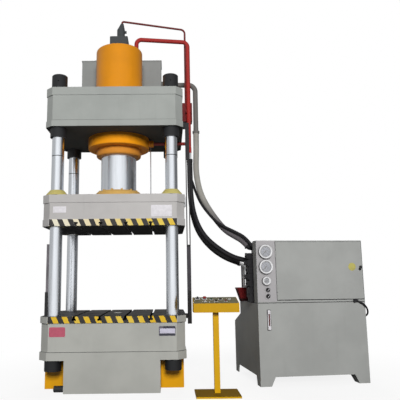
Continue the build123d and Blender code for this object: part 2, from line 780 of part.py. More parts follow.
with BuildPart() as cabinet_shell:
    with BuildSketch(unit_floor.offset(oil_tank_height)) as shell_outline:
        Rectangle(unit_width, shell_depth, align=(Align.MIN, Align.MIN))
    extrude(amount=shell_top - oil_tank_height)
    with BuildSketch(unit_floor.offset(oil_tank_height)) as shell_inside:
        with Locations((sheet, sheet)):
            Rectangle(unit_width - 2 * sheet, shell_depth, align=(Align.MIN, Align.MIN))
    extrude(amount=shell_top - oil_tank_height - sheet, mode=Mode.SUBTRACT)
    with BuildSketch(unit_side.offset(-1)) as open_side:
        with Locations((side_flange, oil_tank_height)):
            Rectangle(shell_depth, shell_top - oil_tank_height + 1, align=(Align.MIN, Align.MIN))
    extrude(amount=sheet + 2, mode=Mode.SUBTRACT)
    with BuildSketch(unit_front.offset(1)) as door_opening:
        with Locations((door_left + 16, door_low + 16)):
            Rectangle(door_right - door_left - 32, door_high - door_low - 32, align=(Align.MIN, Align.MIN))
    extrude(amount=-(sheet + 2), mode=Mode.SUBTRACT)
    with BuildSketch(unit_floor.offset(shell_top - 2 * sheet)) as hose_notch:
        with Locations((-1, side_flange)):
            Rectangle(manifold_x + 1, shell_depth, align=(Align.MIN, Align.MIN))
    extrude(amount=3 * sheet, mode=Mode.SUBTRACT)
    for height in hinge_heights:
        with BuildSketch(unit_floor.offset(height - 45)) as pin_foot:
            with Locations((hinge_x, -hinge_out)):
                Circle(hinge_barrel_diameter / 2)
            with Locations((strip_width + 0.5, 0)):
                Rectangle(hinge_x - strip_width, hinge_out, align=(Align.MIN, Align.MAX))
        extrude(amount=44.5)
        with BuildSketch(unit_floor.offset(height - 1)) as pin_section:
            with Locations((hinge_x, -hinge_out)):
                Circle(hinge_pin_diameter / 2)
        extrude(amount=34)
cabinet_shell.part.label = "cabinet_shell"

selector_x = 133
selector_heights = [oil_tank_height + 161, oil_tank_height + 84]
escutcheon_size = 72
with BuildPart() as control_strip:
    with BuildSketch(unit_front) as strip_outline:
        with Locations((1, oil_tank_height + 14)):
            Rectangle(strip_width - 1, shell_top - oil_tank_height - 16, align=(Align.MIN, Align.MIN))
    extrude(amount=3)
    for height in selector_heights:
        with BuildSketch(unit_front.offset(3)) as escutcheon:
            with Locations((selector_x, height)):
                RectangleRounded(escutcheon_size, escutcheon_size, 8)
        extrude(amount=6)
        with BuildSketch(unit_front.offset(9)) as spindle:
            with Locations((selector_x, height)):
                Circle(5)
        extrude(amount=14)
control_strip.part.label = "control_strip"

gauge_x = 112
gauge_heights = [oil_tank_height + 638, oil_tank_height + 448, oil_tank_height + 273]
gauge_diameters = [gauge_diameter, gauge_diameter, small_gauge_diameter]
gauge_places = [(gauge_x, height, diameter) for height, diameter in zip(gauge_heights, gauge_diameters)]
with BuildPart() as gauge_cases:
    for gx, gz, diameter in gauge_places:
        with BuildSketch(unit_front.offset(3)) as case_section:
            with Locations((gx, gz)):
                Circle(diameter / 2)
        extrude(amount=gauge_reach)
        with BuildSketch(unit_front.offset(3 + gauge_reach)) as dial_recess:
            with Locations((gx, gz)):
                Circle(diameter / 2 - 9)
        extrude(amount=-14, mode=Mode.SUBTRACT)
        with BuildSketch(unit_front.offset(3 + gauge_reach - 14)) as pointer_pin:
            with Locations((gx, gz)):
                Circle(2.5)
        extrude(amount=9)
gauge_cases.part.label = "gauge_cases"

needle_names = ["pressure_needle", "return_needle", "temperature_needle"]
needles = {}
for name, (gx, gz, diameter), rest in zip(needle_names, gauge_places, (135, 135, 110)):
    length = diameter / 2 - 20
    dial = unit_front.offset(3 + gauge_reach - 10)
    across = dial.x_dir * math.cos(math.radians(rest)) + dial.y_dir * math.sin(math.radians(rest))
    with BuildPart() as needle:
        dial_centre = dial.from_local_coords((gx, gz))
        with BuildSketch(Plane(origin=dial_centre, x_dir=across, z_dir=dial.z_dir)) as needle_outline:
            with BuildLine():
                Polyline((-5, -16), (5, -16), (1.2, length), (-1.2, length), close=True)
            make_face()
            Circle(8)
            Circle(2.8, mode=Mode.SUBTRACT)
        extrude(amount=3)
    needle.part.label = name
    needles[name] = needle

selector_names = ["selector_upper", "selector_lower"]
knob_radius = 27
selectors = {}
for name, height in zip(selector_names, selector_heights):
    with BuildPart() as selector:
        with BuildSketch(unit_front.offset(9.5)) as knob_base:
            with Locations((selector_x, height)):
                Circle(knob_radius)
        extrude(amount=8)
        with BuildSketch(unit_front.offset(17.5)) as knob_grip:
            with Locations((selector_x, height)):
                RectangleRounded(16, 2 * knob_radius - 4, 6, rotation=-38)
        extrude(amount=18)
        with BuildSketch(unit_front.offset(9)) as spindle_hole:
            with Locations((selector_x, height)):
                Circle(5.3)
        extrude(amount=15, mode=Mode.SUBTRACT)
    selector.part.label = name
    selectors[name] = selector

level_x = 136
level_height = oil_tank_height - 208
level_end_spacing = 96
with BuildPart() as oil_level_gauge:
    with BuildSketch(unit_front) as level_body:
        with Locations((level_x, level_height)):
            RectangleRounded(40, 243, 8)
    extrude(amount=12)
    with BuildSketch(unit_front.offset(12)) as level_ends:
        with Locations((level_x, level_height)):
            with GridLocations(0, 2 * level_end_spacing, 1, 2):
                RectangleRounded(34, 42, 6)
    extrude(amount=10)
    with BuildSketch(unit_front.offset(12)) as level_tube:
        with Locations((level_x, level_height)):
            Rectangle(16, 152)
    extrude(amount=7)
oil_level_gauge.part.label = "oil_level_gauge"

lock_place = (door_right - 36, oil_tank_height + 411)
lock_cam_length = 34
with BuildPart() as cabinet_door:
    with BuildSketch(unit_front.offset(4)) as door_outline:
        with Locations((door_left, door_low)):
            Rectangle(door_right - door_left, door_high - door_low, align=(Align.MIN, Align.MIN))
    extrude(amount=-3.6)
    with BuildSketch(unit_front.offset(0.5)) as door_pan:
        with Locations((door_left + 22, door_low + 22)):
            Rectangle(door_right - door_left - 80, door_high - door_low - 44, align=(Align.MIN, Align.MIN))
        with Locations((door_left + 26, door_low + 26)):
            mouth = (door_right - door_left - 88, door_high - door_low - 52)
            Rectangle(*mouth, align=(Align.MIN, Align.MIN), mode=Mode.SUBTRACT)
    extrude(amount=-door_thickness)
    for height in hinge_heights:
        with BuildSketch(unit_floor.offset(height)) as knuckle_section:
            with Locations((hinge_x, -hinge_out)):
                Circle(hinge_barrel_diameter / 2)
            with Locations((hinge_x, -hinge_out)):
                Rectangle(20, hinge_out - 3, align=(Align.MIN, Align.MIN))
            with Locations((hinge_x, -hinge_out)):
                Circle(hinge_pin_diameter / 2 + 0.3, mode=Mode.SUBTRACT)
        extrude(amount=45)
    with BuildSketch(unit_front.offset(5)) as lock_hole:
        with Locations(lock_place):
            Circle(10.3)
    extrude(amount=-8, mode=Mode.SUBTRACT)
cabinet_door.part.label = "cabinet_door"

with BuildPart() as door_lock:
    with BuildSketch(unit_front.offset(4.4)) as lock_head:
        with Locations(lock_place):
            Circle(16)
    extrude(amount=8)
    with BuildSketch(unit_front.offset(4.4)) as lock_barrel:
        with Locations(lock_place):
            Circle(10)
    extrude(amount=-14)
    with BuildSketch(unit_front.offset(12.4)) as key_slot:
        with Locations(lock_place):
            Rectangle(5, 22)
    extrude(amount=-4, mode=Mode.SUBTRACT)
    with BuildSketch(unit_front.offset(-sheet - 1)) as lock_cam:
        with Locations(lock_place):
            Rectangle(14, lock_cam_length, align=(Align.CENTER, Align.MAX))
    extrude(amount=-3)
door_lock.part.label = "door_lock"

# Motor and pump on the tank, behind the open back of the shell
motor_axis_height = oil_tank_height + 226
motor_deep = shell_depth + 70
motor_from_right = 772
motor_length = 560
motor_radius = 162
fin_count = 24
fin_height = 16
fin_thickness = 8
cowl_radius = 172
cowl_length = 90
shield_radius = 150
shield_length = 28
motor_foot_width = 300
motor_foot_length = 420
motor_foot_start = 60
terminal_box_size = (170, 150)
terminal_box_start = 180
terminal_box_top = 235
motor_start = unit_width - motor_from_right
motor_end = motor_start + motor_length
axis_above_tank = motor_axis_height - oil_tank_height
motor_plane = Plane(
    origin=unit_floor.from_local_coords((0, motor_deep, motor_axis_height)),
    x_dir=unit_floor.y_dir,
    z_dir=unit_floor.x_dir,
)
with BuildPart() as electric_motor:
    with BuildSketch(motor_plane.offset(motor_start)) as motor_section:
        Circle(motor_radius)
        for step in range(fin_count):
            angle = 360 * (step + 0.5) / fin_count
            reach = Vector(motor_radius, 0).rotate(Axis.Z, angle)
            with Locations(Location((reach.X, reach.Y), angle)):
                Rectangle(2 * fin_height, fin_thickness)
    extrude(amount=motor_length)
    with BuildSketch(motor_plane.offset(motor_end)) as fan_cowl:
        Circle(cowl_radius)
    extrude(amount=cowl_length)
    fillet(electric_motor.edges().group_by(Axis(motor_plane.origin, motor_plane.z_dir))[-1], 18)
    with BuildSketch(motor_plane.offset(motor_start)) as end_shield:
        Circle(shield_radius)
    extrude(amount=-shield_length)
    with BuildSketch(motor_plane.offset(motor_start + motor_foot_start)) as motor_foot:
        with Locations((0, -axis_above_tank)):
            Rectangle(motor_foot_width, axis_above_tank - motor_radius / 2, align=(Align.CENTER, Align.MIN))
    extrude(amount=motor_foot_length)
    with BuildSketch(motor_plane.offset(motor_start + terminal_box_start)) as terminal_box:
        with Locations((0, terminal_box_top)):
            Rectangle(terminal_box_size[1], terminal_box_top - motor_radius / 2, align=(Align.CENTER, Align.MAX))
    extrude(amount=terminal_box_size[0])
electric_motor.part.label = "electric_motor"

bell_length = 150
bell_radius = 120
pump_length = 150
pump_radius = 96
pump_port_width = 80
pump_port_length = 90
bell_start = motor_start - shield_length
pump_start = bell_start - bell_length
with BuildPart() as oil_pump:
    with BuildSketch(motor_plane.offset(bell_start)) as bell_housing:
        Circle(bell_radius)
    extrude(amount=-bell_length)
    with BuildSketch(motor_plane.offset(pump_start)) as pump_case:
        Circle(pump_radius)
    extrude(amount=-pump_length)
    fillet(oil_pump.edges().group_by(Axis(motor_plane.origin, motor_plane.z_dir))[0], 14)
    with BuildSketch(motor_plane.offset(pump_start - pump_length + 18)) as pump_port:
        with Locations((0, -axis_above_tank)):
            Rectangle(pump_port_width, axis_above_tank, align=(Align.CENTER, Align.MIN))
    extrude(amount=pump_port_length)
oil_pump.part.label = "oil_pump"

manifold_width = 230
manifold_depth = 240
manifold_stand_height = 330
manifold_height = 425
stand_inset = 20
stand_depth = 190
relief_reach = 96
stack_reach = 118
stack_deep = manifold_deep + 62
stack_low = oil_tank_height + 112
stack_step = 88
stack_count = 6
stack_gap = 8
stack_depth = 92
coil_diameter = 62
coil_length = 34
pilot_valve_width = 120
pilot_valve_depth = 100
with BuildPart() as valve_manifold:
    with BuildSketch(unit_floor.offset(oil_tank_height)) as manifold_stand:
        with Locations((manifold_x + stand_inset, manifold_deep + stand_inset)):
            Rectangle(manifold_width - 50, stand_depth, align=(Align.MIN, Align.MIN))
    extrude(amount=manifold_stand_height)
    with BuildSketch(unit_floor.offset(oil_tank_height + manifold_stand_height)) as manifold_block:
        with Locations((manifold_x, manifold_deep)):
            Rectangle(manifold_width, manifold_depth, align=(Align.MIN, Align.MIN))
    extrude(amount=manifold_height)
    with BuildSketch(unit_floor.offset(oil_tank_height + 130)) as pilot_valves:
        with Locations((manifold_x + manifold_width - 30, manifold_deep + 60)):
            Rectangle(pilot_valve_width, pilot_valve_depth, align=(Align.MIN, Align.MIN))
    extrude(amount=80)
    for step in range(stack_count):
        height = stack_low + step * stack_step
        with BuildSketch(unit_side.offset(manifold_x + stand_inset)) as stacked_valve:
            with Locations((stack_deep, height)):
                Rectangle(stack_depth, stack_step - stack_gap, align=(Align.CENTER, Align.MIN))
        extrude(amount=-stand_inset - stack_reach + (step % 2) * 14)
    with BuildSketch(unit_side.offset(manifold_x)) as stack_back:
        with Locations((stack_deep, stack_low + 10)):
            Rectangle(stack_depth - 14, stack_count * stack_step - 30, align=(Align.CENTER, Align.MIN))
    extrude(amount=-stack_reach + 24)
    with BuildSketch(unit_side.offset(manifold_x - stack_reach)) as coils:
        with GridLocations(0, 2 * stack_step, 1, 2):
            with Locations((stack_deep, stack_low + 3.45 * stack_step)):
                Circle(coil_diameter / 2)
    extrude(amount=-coil_length)
    with BuildSketch(unit_side.offset(manifold_x + stand_inset)) as relief_valve:
        with GridLocations(0, 130, 1, 2):
            with Locations((manifold_deep + 150, oil_tank_height + 185)):
                Rectangle(78, 110)
    extrude(amount=-(stand_inset + relief_reach))
valve_manifold.part.label = "valve_manifold"

# Check valve body at the left edge of the tank, with its riser pipe
check_x = 0
check_deep = 720
check_foot_x = 24
check_height = 168
check_cover_height = 16
with BuildPart() as check_valve:
    with BuildSketch(unit_floor.offset(oil_tank_height)) as check_foot:
        with Locations((check_foot_x, check_deep)):
            RectangleRounded(116, 112, 22)
    with BuildSketch(unit_floor.offset(oil_tank_height + check_height)) as check_head:
        with Locations((check_x, check_deep)):
            RectangleRounded(172, 162, 34)
    loft()
    with BuildSketch(unit_floor.offset(oil_tank_height + check_height)) as check_cover:
        with Locations((check_x, check_deep)):
            RectangleRounded(180, 170, 36)
    extrude(amount=check_cover_height)
check_valve.part.label = "check_valve"

riser_x = 26
riser_radius = 18
riser_foot = oil_tank_height + check_height + check_cover_height
riser_top = oil_tank_height + 440

# Pedestal
with BuildPart() as pedestal_stand:
    with BuildSketch(Plane.XY) as stand_base:
        with Locations((pedestal_x, pedestal_y)):
            Rectangle(pedestal_base_width, pedestal_base_depth)
    extrude(amount=pedestal_base_thickness)
    fillet(pedestal_stand.edges().filter_by(Axis.Z), 6)
    with BuildSketch(Plane.XY.offset(pedestal_base_thickness)) as post_section:
        with Locations((pedestal_x, pedestal_y)):
            Rectangle(pedestal_post, pedestal_post)
    extrude(amount=pedestal_box_bottom - pedestal_base_thickness)
    with BuildSketch(Plane.XY) as base_holes:
        with Locations((pedestal_x, pedestal_y)):
            with GridLocations(pedestal_base_width - 70, pedestal_base_depth - 70, 2, 2):
                Circle(7)
    extrude(amount=pedestal_base_thickness, mode=Mode.SUBTRACT)
pedestal_stand.part.label = "pedestal_stand"

panel_rise = pedestal_box_back_top - pedestal_box_front_top
panel_tilt = math.degrees(math.atan2(panel_rise, pedestal_box_depth))
panel_middle_height = (pedestal_box_front_top + pedestal_box_back_top) / 2
panel_plane = Plane(
    origin=(pedestal_x, pedestal_y, panel_middle_height),
    x_dir=(1, 0, 0),
    z_dir=(0, -math.sin(math.radians(panel_tilt)), math.cos(math.radians(panel_tilt))),
)
panel_length = pedestal_box_depth / math.cos(math.radians(panel_tilt))
panel_thickness = 3

knob_place = (-204, 62)
stop_place = (-122, 60)
button_places = [(-44, 22), (4, -50), (62, 22), (116, -50)]
stem_radius = 9
stem_play = 0.4
stem_depth = 34
box_pocket_depth = 48

with BuildPart() as control_box:
    with BuildSketch(Plane.YZ.offset(pedestal_x - pedestal_box_width / 2)) as box_profile:
        with BuildLine():
            Polyline(
                (pedestal_y - pedestal_box_depth / 2, pedestal_box_bottom),
                (pedestal_y + pedestal_box_depth / 2, pedestal_box_bottom),
                (pedestal_y + pedestal_box_depth / 2, pedestal_box_back_top),
                (pedestal_y - pedestal_box_depth / 2, pedestal_box_front_top),
                close=True,
            )
        make_face()
    extrude(amount=pedestal_box_width)
    with BuildSketch(panel_plane) as pockets:
        with Locations(knob_place, stop_place, *button_places):
            Circle(stem_radius + 4)
    extrude(amount=-box_pocket_depth, mode=Mode.SUBTRACT)
control_box.part.label = "control_box"

with BuildPart() as button_panel:
    with BuildSketch(panel_plane) as panel_outline:
        Rectangle(pedestal_box_width - 12, panel_length - 12)
        with Locations(knob_place, stop_place, *button_places):
            Circle(stem_radius + stem_play, mode=Mode.SUBTRACT)
    extrude(amount=panel_thickness)
    with BuildSketch(panel_plane.offset(panel_thickness)) as bezels:
        with Locations(knob_place, stop_place, *button_places):
            Circle(16)
            Circle(stem_radius + stem_play, mode=Mode.SUBTRACT)
    extrude(amount=4)
button_panel.part.label = "button_panel"

bezel_top = panel_thickness + 4
controls = {}
with BuildPart() as pedestal_selector:
    with BuildSketch(panel_plane.offset(bezel_top + 0.4)) as pedestal_knob_base:
        with Locations(knob_place):
            Circle(15)
    extrude(amount=8)
    with BuildSketch(panel_plane.offset(bezel_top + 8.4)) as pedestal_knob_grip:
        with Locations(knob_place):
            RectangleRounded(10, 28, 4, rotation=30)
    extrude(amount=14)
    with BuildSketch(panel_plane.offset(bezel_top + 0.4)) as pedestal_knob_stem:
        with Locations(knob_place):
            Circle(stem_radius)
    extrude(amount=-(stem_depth + bezel_top))
pedestal_selector.part.label = "pedestal_selector"
controls["pedestal_selector"] = pedestal_selector

with BuildPart() as stop_button:
    with BuildSketch(panel_plane.offset(bezel_top + 7)) as mushroom_neck:
        with Locations(stop_place):
            Circle(stem_radius)
    extrude(amount=-(stem_depth + bezel_top + 7))
    with BuildSketch(panel_plane.offset(bezel_top + 7)) as mushroom_head:
        with Locations(stop_place):
            Circle(20)
    extrude(amount=17)
    fillet(stop_button.edges().group_by(Axis(panel_plane.origin, panel_plane.z_dir))[-1], 7)
stop_button.part.label = "stop_button"
controls["stop_button"] = stop_button

button_names = ["start_button", "down_button", "up_button", "eject_button"]
for name, place in zip(button_names, button_places):
    with BuildPart() as push_button:
        with BuildSketch(panel_plane.offset(-stem_depth)) as button_stem:
            with Locations(place):
                Circle(stem_radius)
        extrude(amount=stem_depth + bezel_top + 7)
        with BuildSketch(panel_plane.offset(bezel_top + 7)) as button_cap:
            with Locations(place):
                Circle(11.5)
        extrude(amount=5)
    push_button.part.label = name
    controls[name] = push_button

# Hoses
def bend_radii(points):
    """Largest arc for each corner: 0.45 of its shorter run over the tangent of half its turn."""
    radii = []
    for before, corner, after in zip(points, points[1:], points[2:]):
        first = Vector(*corner) - Vector(*before)
        second = Vector(*after) - Vector(*corner)
        half_turn = math.radians(first.get_angle(second)) / 2
        radii.append(0.45 * min(first.length, second.length) / math.tan(half_turn))
    return radii


def unit_point(across, deep, height):
    """A point given in the power unit's own directions, in the press's frame."""
    point = unit_floor.from_local_coords((across, deep, height))
    return (point.X, point.Y, point.Z)


# Fittings at the ends: the press side hangs straight down, the power unit side bends into its port
riser_seat = unit_point(riser_x, check_deep, riser_top)
riser_bend = unit_point(riser_x, check_deep, riser_top + 60)
return_bend = unit_point(manifold_x - 46, manifold_deep + 219, oil_tank_height + 540)
return_seat = unit_point(manifold_x, manifold_deep + 219, oil_tank_height + 540)
tank_bend = unit_point(manifold_x - 56, manifold_deep + 141, oil_tank_height + 712)
tank_seat = unit_point(manifold_x, manifold_deep + 141, oil_tank_height + 712)
pilot_bend = unit_point(manifold_x - 40, manifold_deep + 41, oil_tank_height + 722)
pilot_seat = unit_point(manifold_x, manifold_deep + 41, oil_tank_height + 722)


def hose_end(before, bend, reach):
    """Where the hose meets its end fitting: on the line to the bend, short of it by the reach."""
    return tuple(Vector(*bend) - (Vector(*bend) - Vector(*before)).normalized() * reach)


pressure_points = [
    (main_pipe_x, main_pipe_y, main_pipe_end - 130),
    (main_pipe_x, main_pipe_y, main_pipe_end - 420),
    (986, 110, 2420),
    (1010, 130, 2200),
    (1070, 150, 1990),
    (1168, 168, 1830),
    (1296, 184, 1700),
    (1436, 196, 1598),
    (1560, 208, 1538),
]
return_points = [
    (return_x, return_y, return_pipe_end - 130),
    (return_x, return_y, return_pipe_end - 360),
    (992, -2, 2410),
    (1018, -3, 2215),
    (1080, -4, 2015),
    (1182, -8, 1858),
    (1326, -12, 1734),
    (1480, -16, 1636),
    (1610, -16, 1580),
]
tank_points = [
    (tank_pipe_x, tank_pipe_y, tank_pipe_end - 78),
    (tank_pipe_x, tank_pipe_y, tank_pipe_end - 380),
    (1084, 372, 2920),
    (1094, 262, 2700),
    (1134, 176, 2480),
    (1218, 100, 2284),
    (1324, 30, 2102),
    (1438, -30, 1944),
    (1560, -66, 1860),
    (1664, -88, 1800),
]
pilot_points = [
    (drop_pipe_x, drop_pipe_y, drop_pipe_end - 80),
    (drop_pipe_x, drop_pipe_y, drop_pipe_end - 210),
    (1018, 196, 2680),
    (1062, 140, 2510),
    (1120, 74, 2350),
    (1210, 0, 2200),
    (1322, -58, 2052),
    (1446, -106, 1958),
    (1580, -146, 1882),
    (1690, -176, 1822),
]
cable_points = [
    unit_point(unit_width - 108, -18, oil_tank_height + 8),
    unit_point(unit_width - 46, -20, oil_tank_height - 16),
    unit_point(unit_width + 4, -22, oil_tank_height - 68),
    unit_point(unit_width + 34, 2, oil_tank_height - 132),
    unit_point(unit_width + 46, 66, oil_tank_height - 182),
    unit_point(unit_width + 34, 146, oil_tank_height - 206),
]
cord_routes = {
    "pressure_hose": (58, pressure_points + [hose_end(pressure_points[-1], riser_bend, 84)]),
    "return_hose": (56, return_points + [hose_end(return_points[-1], return_bend, 40)]),
    "tank_hose": (84, tank_points + [hose_end(tank_points[-1], tank_bend, 40)]),
    "pilot_hose": (36, pilot_points + [hose_end(pilot_points[-1], pilot_bend, 30)]),
    "supply_cable": (22, cable_points),
}
cords = {}
for name, (diameter, points) in cord_routes.items():
    radii = bend_radii(points)
    runs = [(Vector(*b) - Vector(*a)).length for a, b in zip(points, points[1:])]
    print(name, "runs", [round(run) for run in runs], "radii", [round(radius) for radius in radii])
    start = Vector(*points[0])
    with BuildPart() as cord:
        with BuildLine() as cord_route:
            FilletPolyline(*points, radius=radii)
        with BuildSketch(Plane(origin=start, z_dir=Vector(*points[1]) - start)):
            Circle(diameter / 2)
        sweep()
    length = sum(edge.length for edge in cord_route.edges())
    ratio = cord.part.volume / (math.pi * diameter**2 / 4 * length)
    print(name, "length", round(length), "volume over section times length", round(ratio, 5))
    cord.part.label = name
    cords[name] = cord

# Straight sleeves under the pipes: tube, then the crimped collar on the hose
sleeves = [
    ((main_pipe_x, main_pipe_y), main_pipe_end, main_pipe_end - 90, pressure_points[0][2], 38, 74),
    ((return_x, return_y), return_pipe_end, return_pipe_end - 90, return_points[0][2], 36, 72),
    ((drop_pipe_x, drop_pipe_y), drop_pipe_end, drop_pipe_end - 50, pilot_points[0][2], 24, 50),
    ((tank_pipe_x, tank_pipe_y), tank_pipe_end, tank_pipe_end - 44, tank_points[0][2], 76, 104),
]
# Bent sleeves at the power unit: hose diameter, tube diameter, points, bend radius
bends = [
    (72, 48, [cord_routes["pressure_hose"][1][-1], riser_bend, riser_seat], 58),
    (70, 44, [cord_routes["return_hose"][1][-1], return_bend, return_seat], 34),
    (98, 72, [cord_routes["tank_hose"][1][-1], tank_bend, tank_seat], 44),
    (50, 30, [cord_routes["pilot_hose"][1][-1], pilot_bend, pilot_seat], 28),
]
with BuildPart() as hose_fittings:
    for (x, y), top, collar_top, collar_bottom, tube_size, collar_size in sleeves:
        with BuildSketch(Plane.XY.offset(top)):
            with Locations((x, y)):
                Circle(tube_size / 2)
        extrude(amount=collar_top - top)
        with BuildSketch(Plane.XY.offset(collar_top)):
            with Locations((x, y)):
                Circle(collar_size / 2)
        extrude(amount=collar_bottom - collar_top)
    for collar_size, tube_size, points, radius in bends:
        start = Vector(*points[0])
        heading = (Vector(*points[1]) - start).normalized()
        with BuildLine():
            FilletPolyline(*points, radius=radius)
        with BuildSketch(Plane(origin=start, z_dir=heading)):
            Circle(tube_size / 2)
        sweep()
        with BuildSketch(Plane(origin=start, z_dir=heading)):
            Circle(collar_size / 2)
        extrude(amount=20)
    with BuildSketch(unit_floor.offset(riser_foot)) as riser_section:
        with Locations((riser_x, check_deep)):
            Circle(riser_radius)
    extrude(amount=riser_top - riser_foot)
    for union_height in (riser_foot, riser_top - 110):
        with BuildSketch(unit_floor.offset(union_height)) as riser_union:
            with Locations((riser_x, check_deep)):
                RegularPolygon(riser_radius + 10, 6)
        extrude(amount=30)
    cable_start = Plane(origin=cable_points[0], z_dir=Vector(*cable_points[1]) - Vector(*cable_points[0]))
    cable_finish = Plane(origin=cable_points[-1], z_dir=Vector(*cable_points[-1]) - Vector(*cable_points[-2]))
    with BuildSketch(cable_start):
        Circle(15)
    extrude(amount=-26)
    with BuildSketch(cable_finish):
        Circle(15)
    extrude(amount=26)
    with BuildSketch(unit_front) as cable_box:
        with Locations((unit_width - 144, oil_tank_height + 14)):
            Rectangle(32, 36)
    extrude(amount=34)
    with BuildSketch(unit_side.offset(unit_width)) as side_box:
        with Locations((184, oil_tank_height - 214)):
            Rectangle(44, 44)
    extrude(amount=40)
hose_fittings.part.label = "hose_fittings"

# Written pieces
pieces = [
    table_plate,
    bed_frame,
    side_feet,
    drain_stub,
    columns,
    column_nuts,
    crown,
    main_cylinder,
    cylinder_lock_ring,
    cylinder_gland,
    ram,
    ram_flange,
    prefill_valve,
    fill_tank,
    slide_plate,
    slide_frame,
    guide_bushes,
    slide_trips,
    ejector_cylinder,
    ejector_rod,
    pressure_pipe,
    pilot_pipe,
    valve_block,
    return_pipe,
    tank_pipe,
    pipe_clamps,
    light_curtains,
    switch_rail,
    oil_tank,
    tank_feet,
    cabinet_shell,
    control_strip,
    gauge_cases,
    *needles.values(),
    *selectors.values(),
    oil_level_gauge,
    cabinet_door,
    door_lock,
    electric_motor,
    oil_pump,
    valve_manifold,
    check_valve,
    pedestal_stand,
    control_box,
    button_panel,
    *controls.values(),
    hose_fittings,
    *cords.values(),
]
for piece in pieces:
    export_step(piece.part, f"parts/{piece.part.label}.step")
print(len(pieces), "pieces")
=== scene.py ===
"""Looks for a four-column hydraulic press, its power unit and its button pedestal.

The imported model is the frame: every piece here is in metres, in the same axes, and rides on one of its bodies.
"""

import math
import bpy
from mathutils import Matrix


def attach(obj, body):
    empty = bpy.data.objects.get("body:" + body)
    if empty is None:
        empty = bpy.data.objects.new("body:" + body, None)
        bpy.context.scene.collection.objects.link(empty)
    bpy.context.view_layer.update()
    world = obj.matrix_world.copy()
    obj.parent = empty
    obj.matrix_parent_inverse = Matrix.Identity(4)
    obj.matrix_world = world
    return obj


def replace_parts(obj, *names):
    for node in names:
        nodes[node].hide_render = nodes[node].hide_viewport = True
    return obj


bl_info = {
    "name": "Hydraulic press looks",
    "version": (1, 0, 0),
    "blender": (4, 5, 0),
    "location": "3D View > Sidebar > Press",
    "description": "Finishes, hoses, plates, gauges and the stage for a hydraulic press",
    "category": "Object",
}

import bpy
import numpy as np
from mathutils import Matrix, Vector

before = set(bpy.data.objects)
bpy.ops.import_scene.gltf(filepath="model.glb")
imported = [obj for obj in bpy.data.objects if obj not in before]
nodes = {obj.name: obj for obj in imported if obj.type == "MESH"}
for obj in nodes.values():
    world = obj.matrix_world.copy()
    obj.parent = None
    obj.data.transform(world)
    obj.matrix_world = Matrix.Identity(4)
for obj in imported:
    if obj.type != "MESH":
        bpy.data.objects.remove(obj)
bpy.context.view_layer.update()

# Directions and places shared by several pieces, in metres
RIGHT, BACK, UP = np.eye(3)
UNIT_CORNER = np.array([1.781, -0.424, 0.0])
UNIT_TURN = math.radians(6.8)
ACROSS = np.array([math.cos(UNIT_TURN), math.sin(UNIT_TURN), 0.0])
DEEP = np.array([-math.sin(UNIT_TURN), math.cos(UNIT_TURN), 0.0])
UNIT_FRONT = -DEEP
SLOT_PITCH, SLOT_REACH = 0.305, 0.0256
TABLE_TOP = 0.8775
PLATE_FRONT = -0.675
BED_FRONT, SLIDE_FRONT = PLATE_FRONT + 0.014, PLATE_FRONT + 0.008
PANEL_TILT = math.atan2(0.061, 0.275)
PANEL_UP = np.array([0.0, math.cos(PANEL_TILT), math.sin(PANEL_TILT)])
PANEL_OUT = np.array([0.0, -math.sin(PANEL_TILT), math.cos(PANEL_TILT)])
PANEL_FACE = np.array([1.218, -0.792, 1.0565]) + PANEL_OUT * 0.003


def unit_point(across, deep, height):
    """A point of the power unit, from its front left corner on the floor."""
    return UNIT_CORNER + ACROSS * across + DEEP * deep + UP * height


def srgb(red, green, blue):
    """A colour as it is seen, 0 to 255 a channel, as linear light."""
    value = np.array([red, green, blue]) / 255.0
    linear = np.where(value <= 0.04045, value / 12.92, ((value + 0.055) / 1.055) ** 2.4)
    return tuple(linear.tolist())


# User settings


class PressColours(bpy.types.PropertyGroup):
    frame_grey: bpy.props.FloatVectorProperty(
        name="Frame grey", description="Enamel of the bed",
        subtype="COLOR", min=0, max=1, default=srgb(178, 179, 174))
    # The slide's grey is the frame enamel painted lighter: painted light.
    slide_grey: bpy.props.FloatVectorProperty(
        name="Slide lit grey", description="Enamel of the slide",
        subtype="COLOR", min=0, max=1, default=srgb(190, 188, 187))
    # The crown's grey is the frame enamel painted darker: painted shade.
    crown_grey: bpy.props.FloatVectorProperty(
        name="Crown shaded grey", description="Enamel of the crown",
        subtype="COLOR", min=0, max=1, default=srgb(161, 165, 162))
    cabinet_grey: bpy.props.FloatVectorProperty(
        name="Cabinet grey", description="Enamel of the power unit",
        subtype="COLOR", min=0, max=1, default=srgb(168, 170, 168))
    cylinder_orange: bpy.props.FloatVectorProperty(
        name="Cylinder orange", description="Enamel of the cylinder and its lock ring",
        subtype="COLOR", min=0, max=1, default=srgb(224, 144, 18))
    safety_yellow: bpy.props.FloatVectorProperty(
        name="Safety yellow", description="Enamel of the pedestal",
        subtype="COLOR", min=0, max=1, default=srgb(216, 166, 22))
    pipe_red: bpy.props.FloatVectorProperty(
        name="Pipe red", description="Enamel of the pressure pipes",
        subtype="COLOR", min=0, max=1, default=srgb(160, 40, 36))


class PressSizes(bpy.types.PropertyGroup):
    stripe_pitch: bpy.props.FloatProperty(
        name="Stripe pitch", description="Length of one yellow and one black stripe",
        unit="LENGTH", default=0.1283, min=0.02, max=0.4)
    stripe_lean: bpy.props.FloatProperty(
        name="Stripe lean", description="Sideways shift of a stripe for each unit of height",
        subtype="FACTOR", default=0.45, min=-2, max=2)
    tape_thickness: bpy.props.FloatProperty(
        name="Tape thickness", description="How far tapes and labels stand proud",
        unit="LENGTH", default=0.0006, min=0.0002, max=0.003)
    dial_ticks: bpy.props.IntProperty(
        name="Dial ticks", description="Divisions on a gauge dial", default=50, min=10, max=100)


# Shader maths


def operation(name, swap=False):
    """A method that adds the Math node of this name."""
    return lambda first, second: first.math(name, second, swap)


